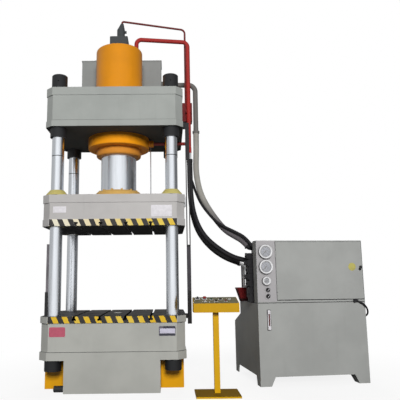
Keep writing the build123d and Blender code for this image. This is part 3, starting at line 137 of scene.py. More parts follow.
class Link:
    """An output socket that takes part in Python arithmetic."""

    def __init__(self, graph, socket):
        self.graph = graph
        self.socket = socket

    def outlet(self, name):
        """Another output of its node."""
        return Link(self.graph, self.socket.node.outputs[name])

    def math(self, name, other=None, swap=False):
        first, second = (other, self) if swap else (self, other)
        sockets = {0: first} if second is None else {0: first, 1: second}
        return self.graph.node("Math", sockets, operation=name)

    __add__ = __radd__ = operation("ADD")
    __sub__ = operation("SUBTRACT")
    __rsub__ = operation("SUBTRACT", swap=True)
    __mul__ = __rmul__ = operation("MULTIPLY")
    __truediv__ = operation("DIVIDE")
    __gt__ = operation("GREATER_THAN")
    __lt__ = operation("LESS_THAN")

    def ramp(self, low, high, start=0.0, end=1.0):
        """Smooth step: start below low, end above high."""
        sockets = {0: self, 1: low, 2: high, 3: start, 4: end}
        return self.graph.node("MapRange", sockets, interpolation_type="SMOOTHSTEP")


class Graph:
    """The nodes of one tree: one method adds any node."""

    def __init__(self, tree):
        self.tree = tree

    def plug(self, socket, value):
        """Links or sets a socket: three numbers for a colour get an opaque fourth."""
        if isinstance(value, Link):
            self.tree.links.new(value.socket, socket)
        elif socket.type == "RGBA" and len(value) == 3:
            socket.default_value = (*value, 1.0)
        else:
            socket.default_value = value

    def node(self, kind, sockets=(), output=0, **settings):
        made = self.tree.nodes.new("ShaderNode" + kind)
        for key, value in settings.items():
            setattr(made, key, value)
        for key, value in dict(sockets).items():
            self.plug(made.inputs[key], value)
        return Link(self, made.outputs[output])


class Finish(Graph):
    """A material under way: coat() fills its main shader's sockets."""

    def __init__(self, name):
        self.material = bpy.data.materials.new(name)
        self.material.use_nodes = True
        super().__init__(self.material.node_tree)
        self.shader = self.tree.nodes["Principled BSDF"]
        self.place = self.node("TexCoord", output="Object")

    def axis(self, index):
        return self.node("SeparateXYZ", {0: self.place}, index)

    def noise(self, scale, detail=2.0, roughness=0.5):
        """Noise of one scale, or of three along X, Y and Z."""
        place = self.place
        if isinstance(scale, tuple):
            place, scale = self.node("Mapping", {"Vector": place, "Scale": scale}), 1.0
        return self.node("TexNoise", {"Vector": place, "Scale": scale, "Detail": detail, "Roughness": roughness})

    def mix(self, factor, first, second):
        return self.node("Mix", {0: factor, 6: first, 7: second}, 2, data_type="RGBA")

    def bump(self, height, strength, distance):
        return self.node("Bump", {"Height": height, "Strength": strength, "Distance": distance})

    def coat(self, **sockets):
        for key, value in sockets.items():
            self.plug(self.shader.inputs[key.replace("_", " ").title().replace("Ior", "IOR")], value)
        return self.material


def shade(colour, factor):
    return tuple(min(1.0, c * factor) for c in colour)


def enamel(name, colour, rough, dirt, peel=0.25, dark_face=None):
    """Sprayed machine enamel: cloudy tone, faint rain-like grime streaks, orange peel and a few scuffs.
    The last argument, where given, holds two heights and a share: between them lies a level face, rougher and darkened
    to that share, painted shade where that face is an underside."""
    f = Finish(name)
    cloud = f.noise(2.3, 3.0, 0.55)
    tone = f.mix(cloud.ramp(0.3, 0.7), shade(colour, 0.93), shade(colour, 1.05))
    streak = f.noise((14.0, 14.0, 1.1), 4.0, 0.6).ramp(0.54, 0.8)
    tone = f.mix(streak * (0.35 * dirt), tone, shade(colour, 0.45))
    scuff = f.noise(26.0, 6.0, 0.72).ramp(0.62, 0.78)
    tone = f.mix(scuff * (0.5 * dirt), tone, shade(colour, 0.62))
    roughness = cloud * 0.1 + scuff * 0.14 + rough
    if dark_face:
        low, high, share = dark_face
        # A level face between two heights, rougher and darker: painted shade on the undersides of slide plate and
        # crown.
        dark_face_band = (f.axis(2) > low) * (f.axis(2) < high)
        tone = f.mix(dark_face_band * 0.95, tone, shade(colour, share))
        roughness = roughness + dark_face_band * 0.4
    fine = f.noise(230.0, 1.0, 0.4)
    return f.coat(base_color=tone, roughness=roughness, normal=f.bump(fine, peel * 0.16, 0.0012))


def casting(name, colour, rough, foot=None):
    """Painted casting: pebbled skin under thick enamel with painted shade in its pits, near black below the height
    foot.
    """
    f = Finish(name)
    skin = f.noise(95.0, 4.0, 0.6)
    # Where the skin lies lower it is darker: painted shade in the pits.
    tone = f.mix(skin.ramp(0.35, 0.65), shade(colour, 0.78), shade(colour, 1.08))
    if foot:
        tone = f.mix(f.axis(2).ramp(foot - 0.015, foot + 0.01), shade(colour, 0.12), tone)
    return f.coat(base_color=tone, roughness=rough + skin * 0.12, normal=f.bump(skin, 0.35, 0.003))


def hard_chrome(name, groove=None):
    """Ground and plated bar: fine rings round the bar, faint lengthwise oil streaks, and a dark band in a ring groove.
    """
    f = Finish(name)
    colour = (0.845, 0.88, 0.93)
    rings = f.noise((3.0, 3.0, 900.0), 3.0, 0.7)
    oil = f.noise((26.0, 26.0, 1.6), 4.0, 0.6)
    tone = f.mix(oil.ramp(0.35, 0.75), colour, shade(colour, 0.9))
    if groove:
        tone = f.mix((f.axis(2) - groove).math("ABSOLUTE") < 0.0052, tone, shade(colour, 0.12))
    rough = 0.2 + rings * 0.05 + oil.ramp(0.45, 0.8) * 0.04
    return f.coat(base_color=tone, metallic=1.0, roughness=rough, normal=f.bump(rings, 0.05, 0.0004))


def machined_table(name, steel, paint):
    """Clamping plate: oiled steel on top and in its slots, machine paint on its edges."""
    f = Finish(name)
    marks = f.noise((2.0, 420.0, 420.0), 4.0, 0.7)
    cloud = f.noise(4.5, 5.0, 0.62)
    turn = f.axis(0) / SLOT_PITCH
    beside = (turn - turn.math("FLOOR") - 0.5).math("ABSOLUTE") < SLOT_REACH / SLOT_PITCH
    bare = (f.axis(2) > TABLE_TOP).math("MAXIMUM", beside * (f.axis(0).math("ABSOLUTE") < 2 * SLOT_PITCH))
    oiled = f.mix(cloud.ramp(0.35, 0.7), shade(steel, 0.7), shade(steel, 1.3))
    oiled = f.mix(marks.ramp(0.5, 0.75) * 0.35, oiled, shade(steel, 1.6))
    painted = f.mix(cloud.ramp(0.3, 0.7), shade(paint, 0.93), shade(paint, 1.05))
    rough = 0.46 + cloud.ramp(0.4, 0.75) * 0.16 + marks * 0.05
    tone = f.mix(bare, painted, oiled)
    return f.coat(base_color=tone, metallic=bare, roughness=rough, normal=f.bump(marks * bare, 0.09, 0.0006))


def fitting_metal(name, bright, black, grey):
    """Bright plated fittings at the red pipes, black ones where the hoses hang from them, a riser over the check valve
    in the bright colour with no metal as a painted reflection of its steel, black fittings at the power unit and the
    cable, and a grey collar on the tank hose."""
    f = Finish(name)
    hang_low, hang_high, collar_low, riser_front = 2.6, 2.945, 3.3, 0.12
    spangle = f.noise(60.0)
    height = f.axis(2)
    hanging = (height > hang_low) * (height < hang_high)
    at_unit = (f.axis(1) < riser_front) * (height < hang_low)
    dark = hanging.math("MAXIMUM", at_unit).math("MAXIMUM", height > collar_low)
    tone = f.mix(spangle.ramp(0.35, 0.65), shade(bright, 0.8), bright)
    tone = f.mix(dark, tone, f.mix(height > collar_low, black, grey))
    # Below the hose ends the riser keeps the bright colour with no metal: a painted reflection of its steel.
    plated = (1.0 - dark) * (height > hang_low)
    rough, grain = 0.24 + spangle * 0.12 + dark * 0.2, f.noise(300.0)
    return f.coat(base_color=tone, metallic=plated, roughness=rough, normal=f.bump(grain, 0.1, 0.0006))


def curtain_housing(name, left, right, lower, level):
    """Anodised housings of one colour, paler on the left one and darker on the right one above the level as painted
    light and painted shade, near black below it.
    """
    f = Finish(name)
    grains = f.noise(900.0, 2.0, 0.6)
    cloud = f.noise(9.0, 3.0)
    # Left and right housings get a paler and a darker copy of one colour: painted light and painted shade.
    upper = f.mix(f.axis(0) > 0.0, left, right)
    tone = f.mix(f.axis(2) > level, lower, f.mix(cloud.ramp(0.35, 0.65) * 0.4, upper, lower))
    return f.coat(base_color=tone, roughness=0.36 + cloud * 0.1, normal=f.bump(grains, 0.06, 0.0002))


def zinc(name, colour, rough):
    """Zinc-plated steel: small soft spangle."""
    f = Finish(name)
    spangle = f.noise(60.0)
    tone = f.mix(spangle.ramp(0.35, 0.65), shade(colour, 0.78), colour)
    grain = f.noise(300.0)
    return f.coat(base_color=tone, metallic=1.0, roughness=rough + spangle * 0.15, normal=f.bump(grain, 0.12, 0.0006))


def rubber(name, colour, rough=0.55, worn=0.35, low=None):
    """Hose cover: matte rubber with dusty scuffs and the fine print of its wrapping cloth.
    The colour low, where one is given, is the lower length's: the hose is darker towards the bottom."""
    f = Finish(name)
    dust = f.noise(7.0, 5.0, 0.65).ramp(0.42, 0.75)
    cloth = f.noise((320.0, 320.0, 320.0), 1.0, 0.5)
    tone = f.mix(dust * worn, colour, shade(colour, 2.1))
    if low:
        tone = f.mix(f.axis(2).ramp(1.95, 2.5), low, tone)
    return f.coat(base_color=tone, roughness=rough + dust * 0.2, normal=f.bump(cloth, 0.2, 0.0008))


def moulded(name, colour, rough, grain):
    """Moulded plastic: even colour with a fine spark-eroded grain and slight sheen changes."""
    f = Finish(name)
    grains = f.noise(900.0, 2.0, 0.6)
    cloud = f.noise(30.0)
    tone = f.mix(cloud.ramp(0.3, 0.7), shade(colour, 0.94), shade(colour, 1.06))
    return f.coat(base_color=tone, roughness=rough + cloud * 0.08, normal=f.bump(grains, grain, 0.0002))


def brushed_panel(name, colour, rough=0.36):
    """Brushed aluminium sheet: long level hairlines."""
    f = Finish(name)
    hair = f.noise((5.0, 5.0, 1500.0), 3.0, 0.7)
    cloud = f.noise(9.0, 3.0)
    tone = f.mix(hair.ramp(0.3, 0.7), shade(colour, 0.9), shade(colour, 1.06))
    rough = rough + hair * 0.1 + cloud * 0.08
    return f.coat(base_color=tone, metallic=0.35, roughness=rough, normal=f.bump(hair, 0.06, 0.0002))


def clear_glass(name):
    """Flat glass, mostly clear."""
    f = Finish(name)
    return f.coat(base_color=(1.0, 1.0, 1.0), roughness=0.03, alpha=0.16, ior=1.5)


def hazard(name, pitch, lean, shift, pale):
    """Slanted yellow and black tape: yellow where the place along X less the shift, plus the lean times the height,
    falls in the first half of a pitch. The yellow pales towards the left end by the share pale."""
    f = Finish(name)
    turn = (f.axis(0) + f.axis(2) * lean - shift) / pitch
    wave = turn - turn.math("FLOOR")
    black = wave > 0.5
    wear = f.noise(55.0, 6.0, 0.75).ramp(0.6, 0.74)
    fade = f.noise(1.7).ramp(0.35, 0.75)
    yellow = f.mix(fade, srgb(226, 184, 44), srgb(232, 206, 96))
    yellow = f.mix(f.axis(0).ramp(-0.75, 0.55, pale, 0.0), yellow, srgb(238, 234, 214))
    dark = f.mix(fade, srgb(34, 33, 34), srgb(58, 55, 52))
    tone = f.mix(black, yellow, dark)
    tone = f.mix(wear * 0.35, tone, srgb(120, 116, 104))
    return f.coat(base_color=tone, roughness=0.42 + wear * 0.25, normal=f.bump(f.noise(160.0), 0.05, 0.0005))


# Surfaces


def circle(radius, count):
    """Outline of a disc: radius less the inset, at equal angles."""
    turn = np.linspace(0, 2 * np.pi, count, endpoint=False)
    return lambda inset: np.stack([np.cos(turn), np.sin(turn)], 1) * (radius - inset)


def hexagon(across_flats):
    """Outline of a nut: corners at sixty degrees, inset measured on its flats."""
    turn = np.arange(6) * np.pi / 3
    return lambda inset: np.stack([np.cos(turn), np.sin(turn)], 1) * (across_flats / 2 - inset) / math.cos(math.pi / 6)


def rounded(width, height, corner):
    """Outline of a plate: quarter circles in the four corners, joined by straight sides, all moved in by the inset."""

    def outline(inset):
        radius = max(corner - inset, corner * 0.1)
        turn = np.linspace(0, np.pi / 2, 6)
        quarter = np.stack([np.cos(turn), np.sin(turn)], 1) * radius
        middle = np.array([width / 2 - inset - radius, height / 2 - inset - radius])
        parts = []
        for step, (sx, sy) in enumerate([(1, 1), (-1, 1), (-1, -1), (1, -1)]):
            a = step * np.pi / 2
            spin = np.array([[np.cos(a), np.sin(a)], [-np.sin(a), np.cos(a)]])
            parts.append(quarter @ spin + middle * (sx, sy))
        return np.concatenate(parts)

    return outline


def cut_corners(width, height, cut):
    """Outline of a plate with its four corners cut off at forty-five degrees, moved in by the inset."""

    def outline(inset):
        across, up = width / 2 - inset, height / 2 - inset
        less = cut - inset * (2 - math.sqrt(2))
        quarter = [(across, up - less), (across - less, up)]
        corners = quarter + [(-x, y) for x, y in quarter[::-1]]
        return np.array(corners + [(-x, -y) for x, y in corners])

    return outline


def pile(outline, steps, origin, right=ACROSS, up=UP, ring=False):
    """A closed form: P(u, v) = origin + outline(u, inset v) in the plane of right and up, the power unit's front
    where none is given, + height v along their cross product. steps lists inset and height. The first and last
    outlines close on a middle point, or on each other where ring is set."""
    out = np.cross(right, up)
    rows = np.array([outline(inset) for inset, height in steps])
    lift = np.array([height for inset, height in steps])
    points = origin + rows[..., :1] * right + rows[..., 1:] * up + lift[:, None, None] * out
    many, count = rows.shape[:2]
    u, v = np.meshgrid(np.arange(count), np.arange(many if ring else many - 1))
    nu, nv = (u + 1) % count, (v + 1) % many
    faces = np.stack([v * count + u, v * count + nu, nv * count + nu, nv * count + u], -1).reshape(-1, 4).tolist()
    points = points.reshape(-1, 3)
    if not ring:
        first, last = len(points), len(points) + 1
        middles = [rows[0].mean(0), rows[-1].mean(0)]
        ends = [origin + m[0] * right + m[1] * up + h * out for m, h in zip(middles, (lift[0], lift[-1]))]
        points = np.concatenate([points, ends])
        side = np.arange(count)
        after = (side + 1) % count
        faces += np.stack([after, side, np.full(count, first)], -1).tolist()
        top = (many - 1) * count
        faces += np.stack([top + side, top + after, np.full(count, last)], -1).tolist()
    return points, faces


def join(shapes):
    """Several point and face lists as one."""
    points, faces, start = [], [], 0
    for shape_points, shape_faces in shapes:
        points.append(shape_points)
        faces += [[i + start for i in face] for face in shape_faces]
        start += len(shape_points)
    return np.concatenate(points), faces


def piece(name, shape, finish, slot, body="frame", smooth=True):
    """Makes the object at the origin, with its place in its mesh, and lets it ride on its body."""
    points, faces = shape
    mesh = bpy.data.meshes.new(name)
    mesh.from_pydata(points.tolist(), [], faces)
    mesh.materials.append(finishes[finish])
    mesh.update()
    if smooth:
        mesh.polygons.foreach_set("use_smooth", [True] * len(mesh.polygons))
        mesh.set_sharp_from_angle(angle=math.radians(35))
    made = bpy.data.objects.new(name, mesh)
    bpy.context.scene.collection.objects.link(made)
    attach(made, body)
    return made


def sheet_cells(x_lines, z_lines, open_cells, y, thickness):
    """A flat band in front of the plane y: every cell between neighbouring X and Z lines that no opening covers,
    as a front and a back with its rim."""
    x_lines, z_lines = sorted(set(x_lines)), sorted(set(z_lines))
    shapes = []
    for x0, x1 in zip(x_lines, x_lines[1:]):
        for z0, z1 in zip(z_lines, z_lines[1:]):
            mx, mz = (x0 + x1) / 2, (z0 + z1) / 2
            if any(a < mx < b and c < mz < d for a, b, c, d in open_cells):
                continue
            corner = np.array([[x0, z0], [x1, z0], [x1, z1], [x0, z1]])
            front = np.stack([corner[:, 0], np.full(4, y - thickness), corner[:, 1]], 1)
            back = front + (0, thickness, 0)
            rim = [[i, i + 4, (i + 1) % 4 + 4, (i + 1) % 4] for i in range(4)]
            shapes.append((np.concatenate([front, back]), [[0, 1, 2, 3], [7, 6, 5, 4], *rim]))
    return join(shapes)


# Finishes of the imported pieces

# Name, colour, roughness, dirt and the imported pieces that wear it
ENAMELS = [
    ("foot amber enamel", (230, 165, 20), 0.36, 0.4, "side_feet"),
    ("nut black enamel", (30, 31, 33), 0.5, 0.3, "column_nuts"),
    ("weld line grey", (84, 86, 84), 0.5, 0.6),
    ("gland bronze enamel", (214, 142, 52), 0.4, 0.5, "cylinder_gland"),
    ("ram flange ochre enamel", (204, 164, 92), 0.42, 0.5, "ram_flange"),
    ("bush olive enamel", (196, 184, 112), 0.42, 0.5, "guide_bushes"),
    ("top tank grey enamel", (142, 145, 144), 0.42, 0.3, "fill_tank"),
    ("pipe grey enamel", (108, 106, 104), 0.42, 0.5, "tank_pipe"),
    # The pilot pipe wears the red pipe enamel darkened to maroon: painted shade.
    ("pilot pipe maroon enamel", (106, 38, 36), 0.34, 0.3, "pilot_pipe"),
    ("ejector dark enamel", (44, 46, 48), 0.45, 0.5, "drain_stub", "ejector_cylinder"),
    ("pedestal panel olive enamel", (114, 109, 82), 0.42, 0.5, "button_panel"),
]
# Name, colour, roughness and pieces
CASTINGS = [
    ("valve stack black", (34, 33, 36), 0.42, "valve_manifold"),
    ("valve blue-grey casting", (66, 70, 72), 0.5, "prefill_valve"),
    ("valve dark red casting", (104, 22, 24), 0.36, "valve_block", "pipe_clamps"),
    ("motor blue casting", (62, 76, 94), 0.5, "electric_motor", "oil_pump"),
]
# Name, colour, roughness, grain and pieces
PLASTICS = [
    ("rail dark anodised", (36, 35, 37), 0.4, 0.06, "switch_rail"),
    ("black plastic", (24, 24, 26), 0.34, 0.12, "gauge_cases", "selector_upper", "selector_lower", "pedestal_selector",
     "down_button", "up_button", "door_lock"),
    ("lamp lens", (214, 210, 200), 0.15, 0.0),
    ("pointer black", (16, 16, 18), 0.4, 0.0, "pressure_needle", "return_needle", "temperature_needle"),
    ("red plastic", (142, 34, 28), 0.3, 0.12, "stop_button"),
    ("dark red plastic", (104, 30, 28), 0.3, 0.12, "eject_button"),
    ("dark green plastic", (28, 72, 44), 0.3, 0.12, "start_button"),
    ("pale label", (226, 224, 229), 0.42, 0.02, "oil_level_gauge"),
    ("rating field", (206, 204, 222), 0.42, 0.02),
    ("red plate", (186, 92, 112), 0.4, 0.02),
    ("yellow label", (190, 182, 104), 0.42, 0.02),
    ("dark field", (58, 58, 68), 0.4, 0.02),
    ("gauge dial", (132, 137, 150), 0.4, 0.02),
    ("level tube oil", (84, 20, 18), 0.18, 0.0),
]
finishes = {}


def dress(material, *names):
    """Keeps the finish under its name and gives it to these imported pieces."""
    finishes[material.name] = material
    for name in names:
        slots = nodes[name].data.materials
        slots.clear()
        slots.append(material)


class PRESS_OT_finishes(bpy.types.Operator):
    """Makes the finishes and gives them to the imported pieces."""

    bl_idname = "press.finishes"
    bl_label = "Finishes"

    def execute(self, context):
        grey, slide, crown, cabinet, orange, yellow, red = (
            tuple(getattr(context.scene.press_colours, key)) for key in PressColours.__annotations__)
        dress(enamel("frame grey enamel", grey, 0.4, 0.3), "bed_frame")
        # Slide and crown wear the frame grey painted lighter on the slide (painted light) and darker on the crown
        # (painted shade); the bottom faces of slide plate and crown are darkened further as painted shade.
        dress(enamel("slide grey enamel", slide, 0.4, 0.3, dark_face=(1.95, 1.963, 0.04)), "slide_plate", "slide_frame")
        dress(enamel("crown grey enamel", crown, 0.4, 0.3, dark_face=(3.22, 3.229, 0.13)), "crown")
        dress(machined_table("planed table steel", (0.026, 0.025, 0.026), grey), "table_plate")
        dress(hard_chrome("hard chrome"), "ram", "ejector_rod")
        dress(hard_chrome("column hard chrome", groove=2.862), "columns")
        dress(enamel("cylinder orange enamel", orange, 0.3, 0.22), "main_cylinder")
        # The lock ring's orange is lifted above the cylinder's: painted light against the shade under the crown.
        dress(enamel("lock ring orange enamel", shade(orange, 1.25), 0.4, 0.4), "cylinder_lock_ring")
        dress(enamel("pipe red enamel", red, 0.3, 0.3), "pressure_pipe", "return_pipe")
        dress(casting("check valve red casting", srgb(112, 24, 26), 0.36, foot=1.04), "check_valve")
        dress(enamel("cabinet grey enamel", cabinet, 0.36, 0.22, 0.4),
              "oil_tank", "tank_feet", "cabinet_shell", "cabinet_door")
        dress(brushed_panel("control strip sheet", srgb(184, 182, 184)), "control_strip")
        dress(zinc("zinc-plated steel", (0.82, 0.83, 0.85), 0.26), "slide_trips")
        # One housing colour, paler on the left housing and darker on the right one: painted light and painted shade.
        dress(curtain_housing("curtain housing", srgb(124, 120, 126), srgb(62, 59, 65), srgb(26, 25, 27), 1.158),
              "light_curtains")
        dress(fitting_metal("hose fittings metal", (0.84, 0.85, 0.87), srgb(24, 23, 26), srgb(112, 110, 108)),
              "hose_fittings")
        dress(enamel("pedestal yellow enamel", yellow, 0.36, 0.3, dark_face=(0.0185, 0.024, 0.2)), "pedestal_stand")
        dress(enamel("control box yellow enamel", shade(yellow, 0.86), 0.36, 0.4), "control_box")
        dress(rubber("hose black cover", srgb(20, 19, 22), 0.5, 0.5),
              "pressure_hose", "return_hose", "pilot_hose", "supply_cable")
        dress(rubber("hose grey cover", srgb(158, 156, 150), 0.6, 0.12, srgb(98, 94, 98)), "tank_hose")
        dress(brushed_panel("rating plate sheet", srgb(112, 110, 120), 0.4))
        dress(zinc("bright bezel", (0.97, 0.97, 0.98), 0.2))
        dress(clear_glass("gauge glass"))
        dress(rubber("door gasket", srgb(36, 36, 38)))
        for name, seen, rough, dirt, *names in ENAMELS:
            dress(enamel(name, srgb(*seen), rough, dirt), *names)
        for name, seen, rough, *names in CASTINGS:
            dress(casting(name, srgb(*seen), rough), *names)
        for name, seen, rough, grain, *names in PLASTICS:
            dress(moulded(name, srgb(*seen), rough, grain), *names)
        left = sorted(name for name, made in nodes.items() if made.data.materials[0].name not in finishes)
        if left:
            raise RuntimeError(f"pieces with no finish: {left}")
        return {"FINISHED"}


# Hoses

RETURN_TOP = 2.905
# Each hose's finish, diameter, the bend of its fitting that its last run aims at, how far short of that it ends,
# and its other control points
HOSES = {
    "pressure_hose": ("hose black cover", 0.067, unit_point(0.026, 0.72, 1.5), 0.084, [
        (0.98, 0.1, 2.93), (0.98, 0.1, 2.64), (0.986, 0.11, 2.42), (1.01, 0.13, 2.2), (1.07, 0.15, 1.99),
        (1.168, 0.168, 1.83), (1.296, 0.184, 1.7), (1.436, 0.196, 1.604), (1.56, 0.208, 1.548)]),
    "return_hose": ("hose black cover", 0.066, unit_point(0.016, 0.404, 1.54), 0.04, [
        (0.985, 0.0, RETURN_TOP), (0.985, 0.0, RETURN_TOP - 0.23), (0.992, -0.002, 2.41), (1.018, -0.003, 2.215),
        (1.08, -0.004, 2.015), (1.182, -0.008, 1.854), (1.326, -0.012, 1.725), (1.48, -0.016, 1.622),
        (1.61, -0.016, 1.568)]),
    "tank_hose": ("hose grey cover", 0.084, unit_point(0.006, 0.326, 1.712), 0.04, [
        (1.104, 0.5, 3.462), (1.104, 0.5, 3.16), (1.084, 0.372, 2.92), (1.094, 0.262, 2.7), (1.134, 0.176, 2.48),
        (1.218, 0.1, 2.287), (1.325, 0.03, 2.108), (1.439, -0.03, 1.955), (1.561, -0.066, 1.872),
        (1.668, -0.088, 1.808)]),
    "pilot_hose": ("hose black cover", 0.036, unit_point(0.022, 0.226, 1.722), 0.03, [
        (0.976, 0.25, 2.93), (0.976, 0.25, 2.8), (1.018, 0.196, 2.68), (1.062, 0.14, 2.51), (1.12, 0.074, 2.35),
        (1.21, 0.0, 2.2), (1.322, -0.058, 2.062), (1.446, -0.106, 1.98), (1.578, -0.146, 1.912),
        (1.694, -0.176, 1.84)]),
}
CABLE = [unit_point(*place) for place in [
    (1.304, -0.018, 1.008), (1.366, -0.02, 0.984), (1.416, -0.022, 0.932),
    (1.446, 0.002, 0.868), (1.458, 0.066, 0.818), (1.446, 0.146, 0.794)]]


def run_length(points):
    """Length of the smooth line that these control points give, read from a curve with no bevel."""
    spare = bpy.data.curves.new("spare", "CURVE")
    lay_spline(spare, points)
    made = bpy.data.objects.new("spare", spare)
    mesh = bpy.data.meshes.new_from_object(made)
    co = np.array([v.co for v in mesh.vertices])
    bpy.data.objects.remove(made)
    bpy.data.meshes.remove(mesh)
    bpy.data.curves.remove(spare)
    return float(np.linalg.norm(np.diff(co, axis=0), axis=1).sum())


def lay_spline(curve, points):
    """Lays one smooth open line with these control points."""
    curve.dimensions = "3D"
    spline = curve.splines.new("NURBS")
    spline.points.add(len(points) - 1)
    spline.points.foreach_set("co", np.concatenate([np.asarray(points, float), np.ones((len(points), 1))], 1).ravel())
    spline.order_u = 3
    spline.use_endpoint_u = True
    spline.resolution_u = 14


class PRESS_OT_hoses(bpy.types.Operator):
    """Lays the free hoses and the supply cable as smooth lines between their fittings."""

    bl_idname = "press.hoses"
    bl_label = "Hoses and cable"

    def execute(self, context):
        routes = {}
        for name, (finish, size, bend, reach, points) in HOSES.items():
            toward = bend - points[-1]
            end = bend - toward / np.linalg.norm(toward) * reach
            routes[name] = (finish, size, [np.array(point) for point in [*points, end]])
        routes["supply_cable"] = ("hose black cover", 0.022, CABLE)
        for name, (finish, size, points) in routes.items():
            curve = bpy.data.curves.new(name + "_line", "CURVE")
            lay_spline(curve, points)
            curve.bevel_depth = size / 2
            curve.bevel_resolution = 7
            curve.use_fill_caps = True
            curve.materials.append(finishes[finish])
            made = bpy.data.objects.new(name + "_line", curve)
            context.scene.collection.objects.link(made)
            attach(made, "frame")
            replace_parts(made, name)
            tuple(points[0])
            run_length(points)
        return {"FINISHED"}


# Tapes, labels and plates

SLOT_PLACES = [(step - 1.5) * SLOT_PITCH for step in range(4)]
THROAT_HALF, HEAD_HALF = 0.0142, 0.0252
# Name, body, half length, edges, heights of the slots' throats and heads, stripe shift, share paled at the left end
TAPES = [
    ("table", "frame", 0.768, (0.801, TABLE_TOP), (0.85, 0.879), (0.8298, 0.8522), 0.047, 0.0),
    ("slide", "slide", 0.782, (1.9625, 2.0455), (1.96, 1.99), (1.9878, 2.0102), 0.0413, 0.95),
]


class PRESS_OT_tapes(bpy.types.Operator):
    """Hazard tape on the front edges of the table and of the slide plate, open where the clamping slots come out."""

    bl_idname = "press.tapes"
    bl_label = "Hazard tapes"

    def execute(self, context):
        sizes = context.scene.press_sizes
        for name, body, half, edges, throat, head, shift, pale in TAPES:
            cells = []
            for x in SLOT_PLACES:
                cells += [(x - THROAT_HALF, x + THROAT_HALF, *throat), (x - HEAD_HALF, x + HEAD_HALF, *head)]
            lines = [-half, half] + [edge for cell in cells for edge in cell[:2]]
            shape = sheet_cells(lines, [*edges, *head], cells, PLATE_FRONT, sizes.tape_thickness)
            tape = name + " hazard tape"
            finishes[tape] = hazard(tape, sizes.stripe_pitch, sizes.stripe_lean, shift, pale)
            piece(name + "_tape", shape, tape, "foot_yellow", body, smooth=False)
        return {"FINISHED"}


FIELD_FRONT = BED_FRONT - 0.0014
# Name, finish, left, right, bottom, top, plane, slot, corner radius, thickness
PLATES = [
    ("red_plate", "red plate", -0.75, -0.559, 0.643, 0.756, BED_FRONT, "button_red", 0.006, 0.0015),
    ("rating_plate", "rating plate sheet", 0.551, 0.75, 0.643, 0.757, BED_FRONT, "steel_bright", 0.006, 0.0015),
    ("rating_plate_head", "dark field", 0.604, 0.746, 0.729, 0.755, FIELD_FRONT, "nut_black", 0.001, 0.0006),
    ("rating_plate_field", "rating field", 0.564, 0.743, 0.673, 0.729, FIELD_FRONT, "gauge_case", 0.002, 0.0006),
    ("rating_plate_foot", "dark field", 0.556, 0.746, 0.647, 0.67, FIELD_FRONT, "nut_black", 0.001, 0.0006),
]
# Name, left, right, bottom, top
SLIDE_LABELS = [
    ("slide_label_left", -0.739, -0.579, 2.127, 2.204),
    ("slide_label_right", 0.464, 0.721, 2.072, 2.213),
]
RIVET_INSET = 0.0045
# Name, width, depth, corner cut, height
WELDS = [("bed_weld", 1.732, 1.322, 0.104, 0.464), ("crown_weld", 1.738, 1.336, 0.09, 3.308)]
DISC_PLACE = unit_point(1.265, -0.004, 1.441)


class PRESS_OT_labels(bpy.types.Operator):
    """Bare plates and labels, fields of colour with no marks, their rivets, and the weld lines round bed and crown."""

    bl_idname = "press.labels"
    bl_label = "Bare plates, labels and welds"

    def execute(self, context):
        thin = context.scene.press_sizes.tape_thickness
        labels = [(name, "pale label", *edges, SLIDE_FRONT, "gauge_case", 0.004, thin) for name, *edges in SLIDE_LABELS]
        for name, finish, left, right, low, high, y, slot, corner, depth in PLATES + labels:
            middle = np.array([(left + right) / 2, y, (low + high) / 2])
            steps = [(0, 0), (0, depth * 0.7), (0.0006, depth)]
            plate = pile(rounded(right - left, high - low, corner), steps, middle, RIGHT, UP)
            piece(name, plate, finish, slot, "slide" if y == SLIDE_FRONT else "frame")
        rivets, dome = [], [(0, 0), (0.0003, 0.0009), (0.0013, 0.0017)]
        for left, right, low, high in (row[2:6] for row in PLATES[:2]):
            for x in (left + RIVET_INSET, right - RIVET_INSET):
                for z in (low + RIVET_INSET, high - RIVET_INSET):
                    rivets.append(pile(circle(0.0032, 14), dome, np.array([x, FIELD_FRONT, z]), RIGHT, UP))
        piece("plate_rivets", join(rivets), "zinc-plated steel", "steel_bright")
        bead = [(0, -0.001), (-0.0035, 0.0), (-0.0012, 0.004), (0, 0.0055), (0.004, 0.0055), (0.004, -0.001)]
        for name, width, depth, cut, height in WELDS:
            weld = pile(cut_corners(width, depth, cut), bead, UP * height, RIGHT, BACK, ring=True)
            piece(name, weld, "weld line grey", "frame_grey")
        disc = pile(circle(0.05, 64), [(0, 0), (0, thin), (0.0006, thin + 0.0002)], DISC_PLACE)
        piece("door_disc", disc, "yellow label", "foot_yellow", "cabinet_door")
        return {"FINISHED"}


# Gauges and cabinet trim

# Name, height and radius
GAUGES = [("pressure", 1.638, 0.085), ("return", 1.448, 0.085), ("temperature", 1.273, 0.05)]
GAUGE_ACROSS, GAUGE_FACE, CASE_DEPTH, BEZEL_WIDTH = 0.112, 0.049, 0.0139, 0.0185
DIAL_START, DIAL_SWEEP = 225, 270
TICK_RIM, LONG_TICK, SHORT_TICK = 0.94, 0.19, 0.1


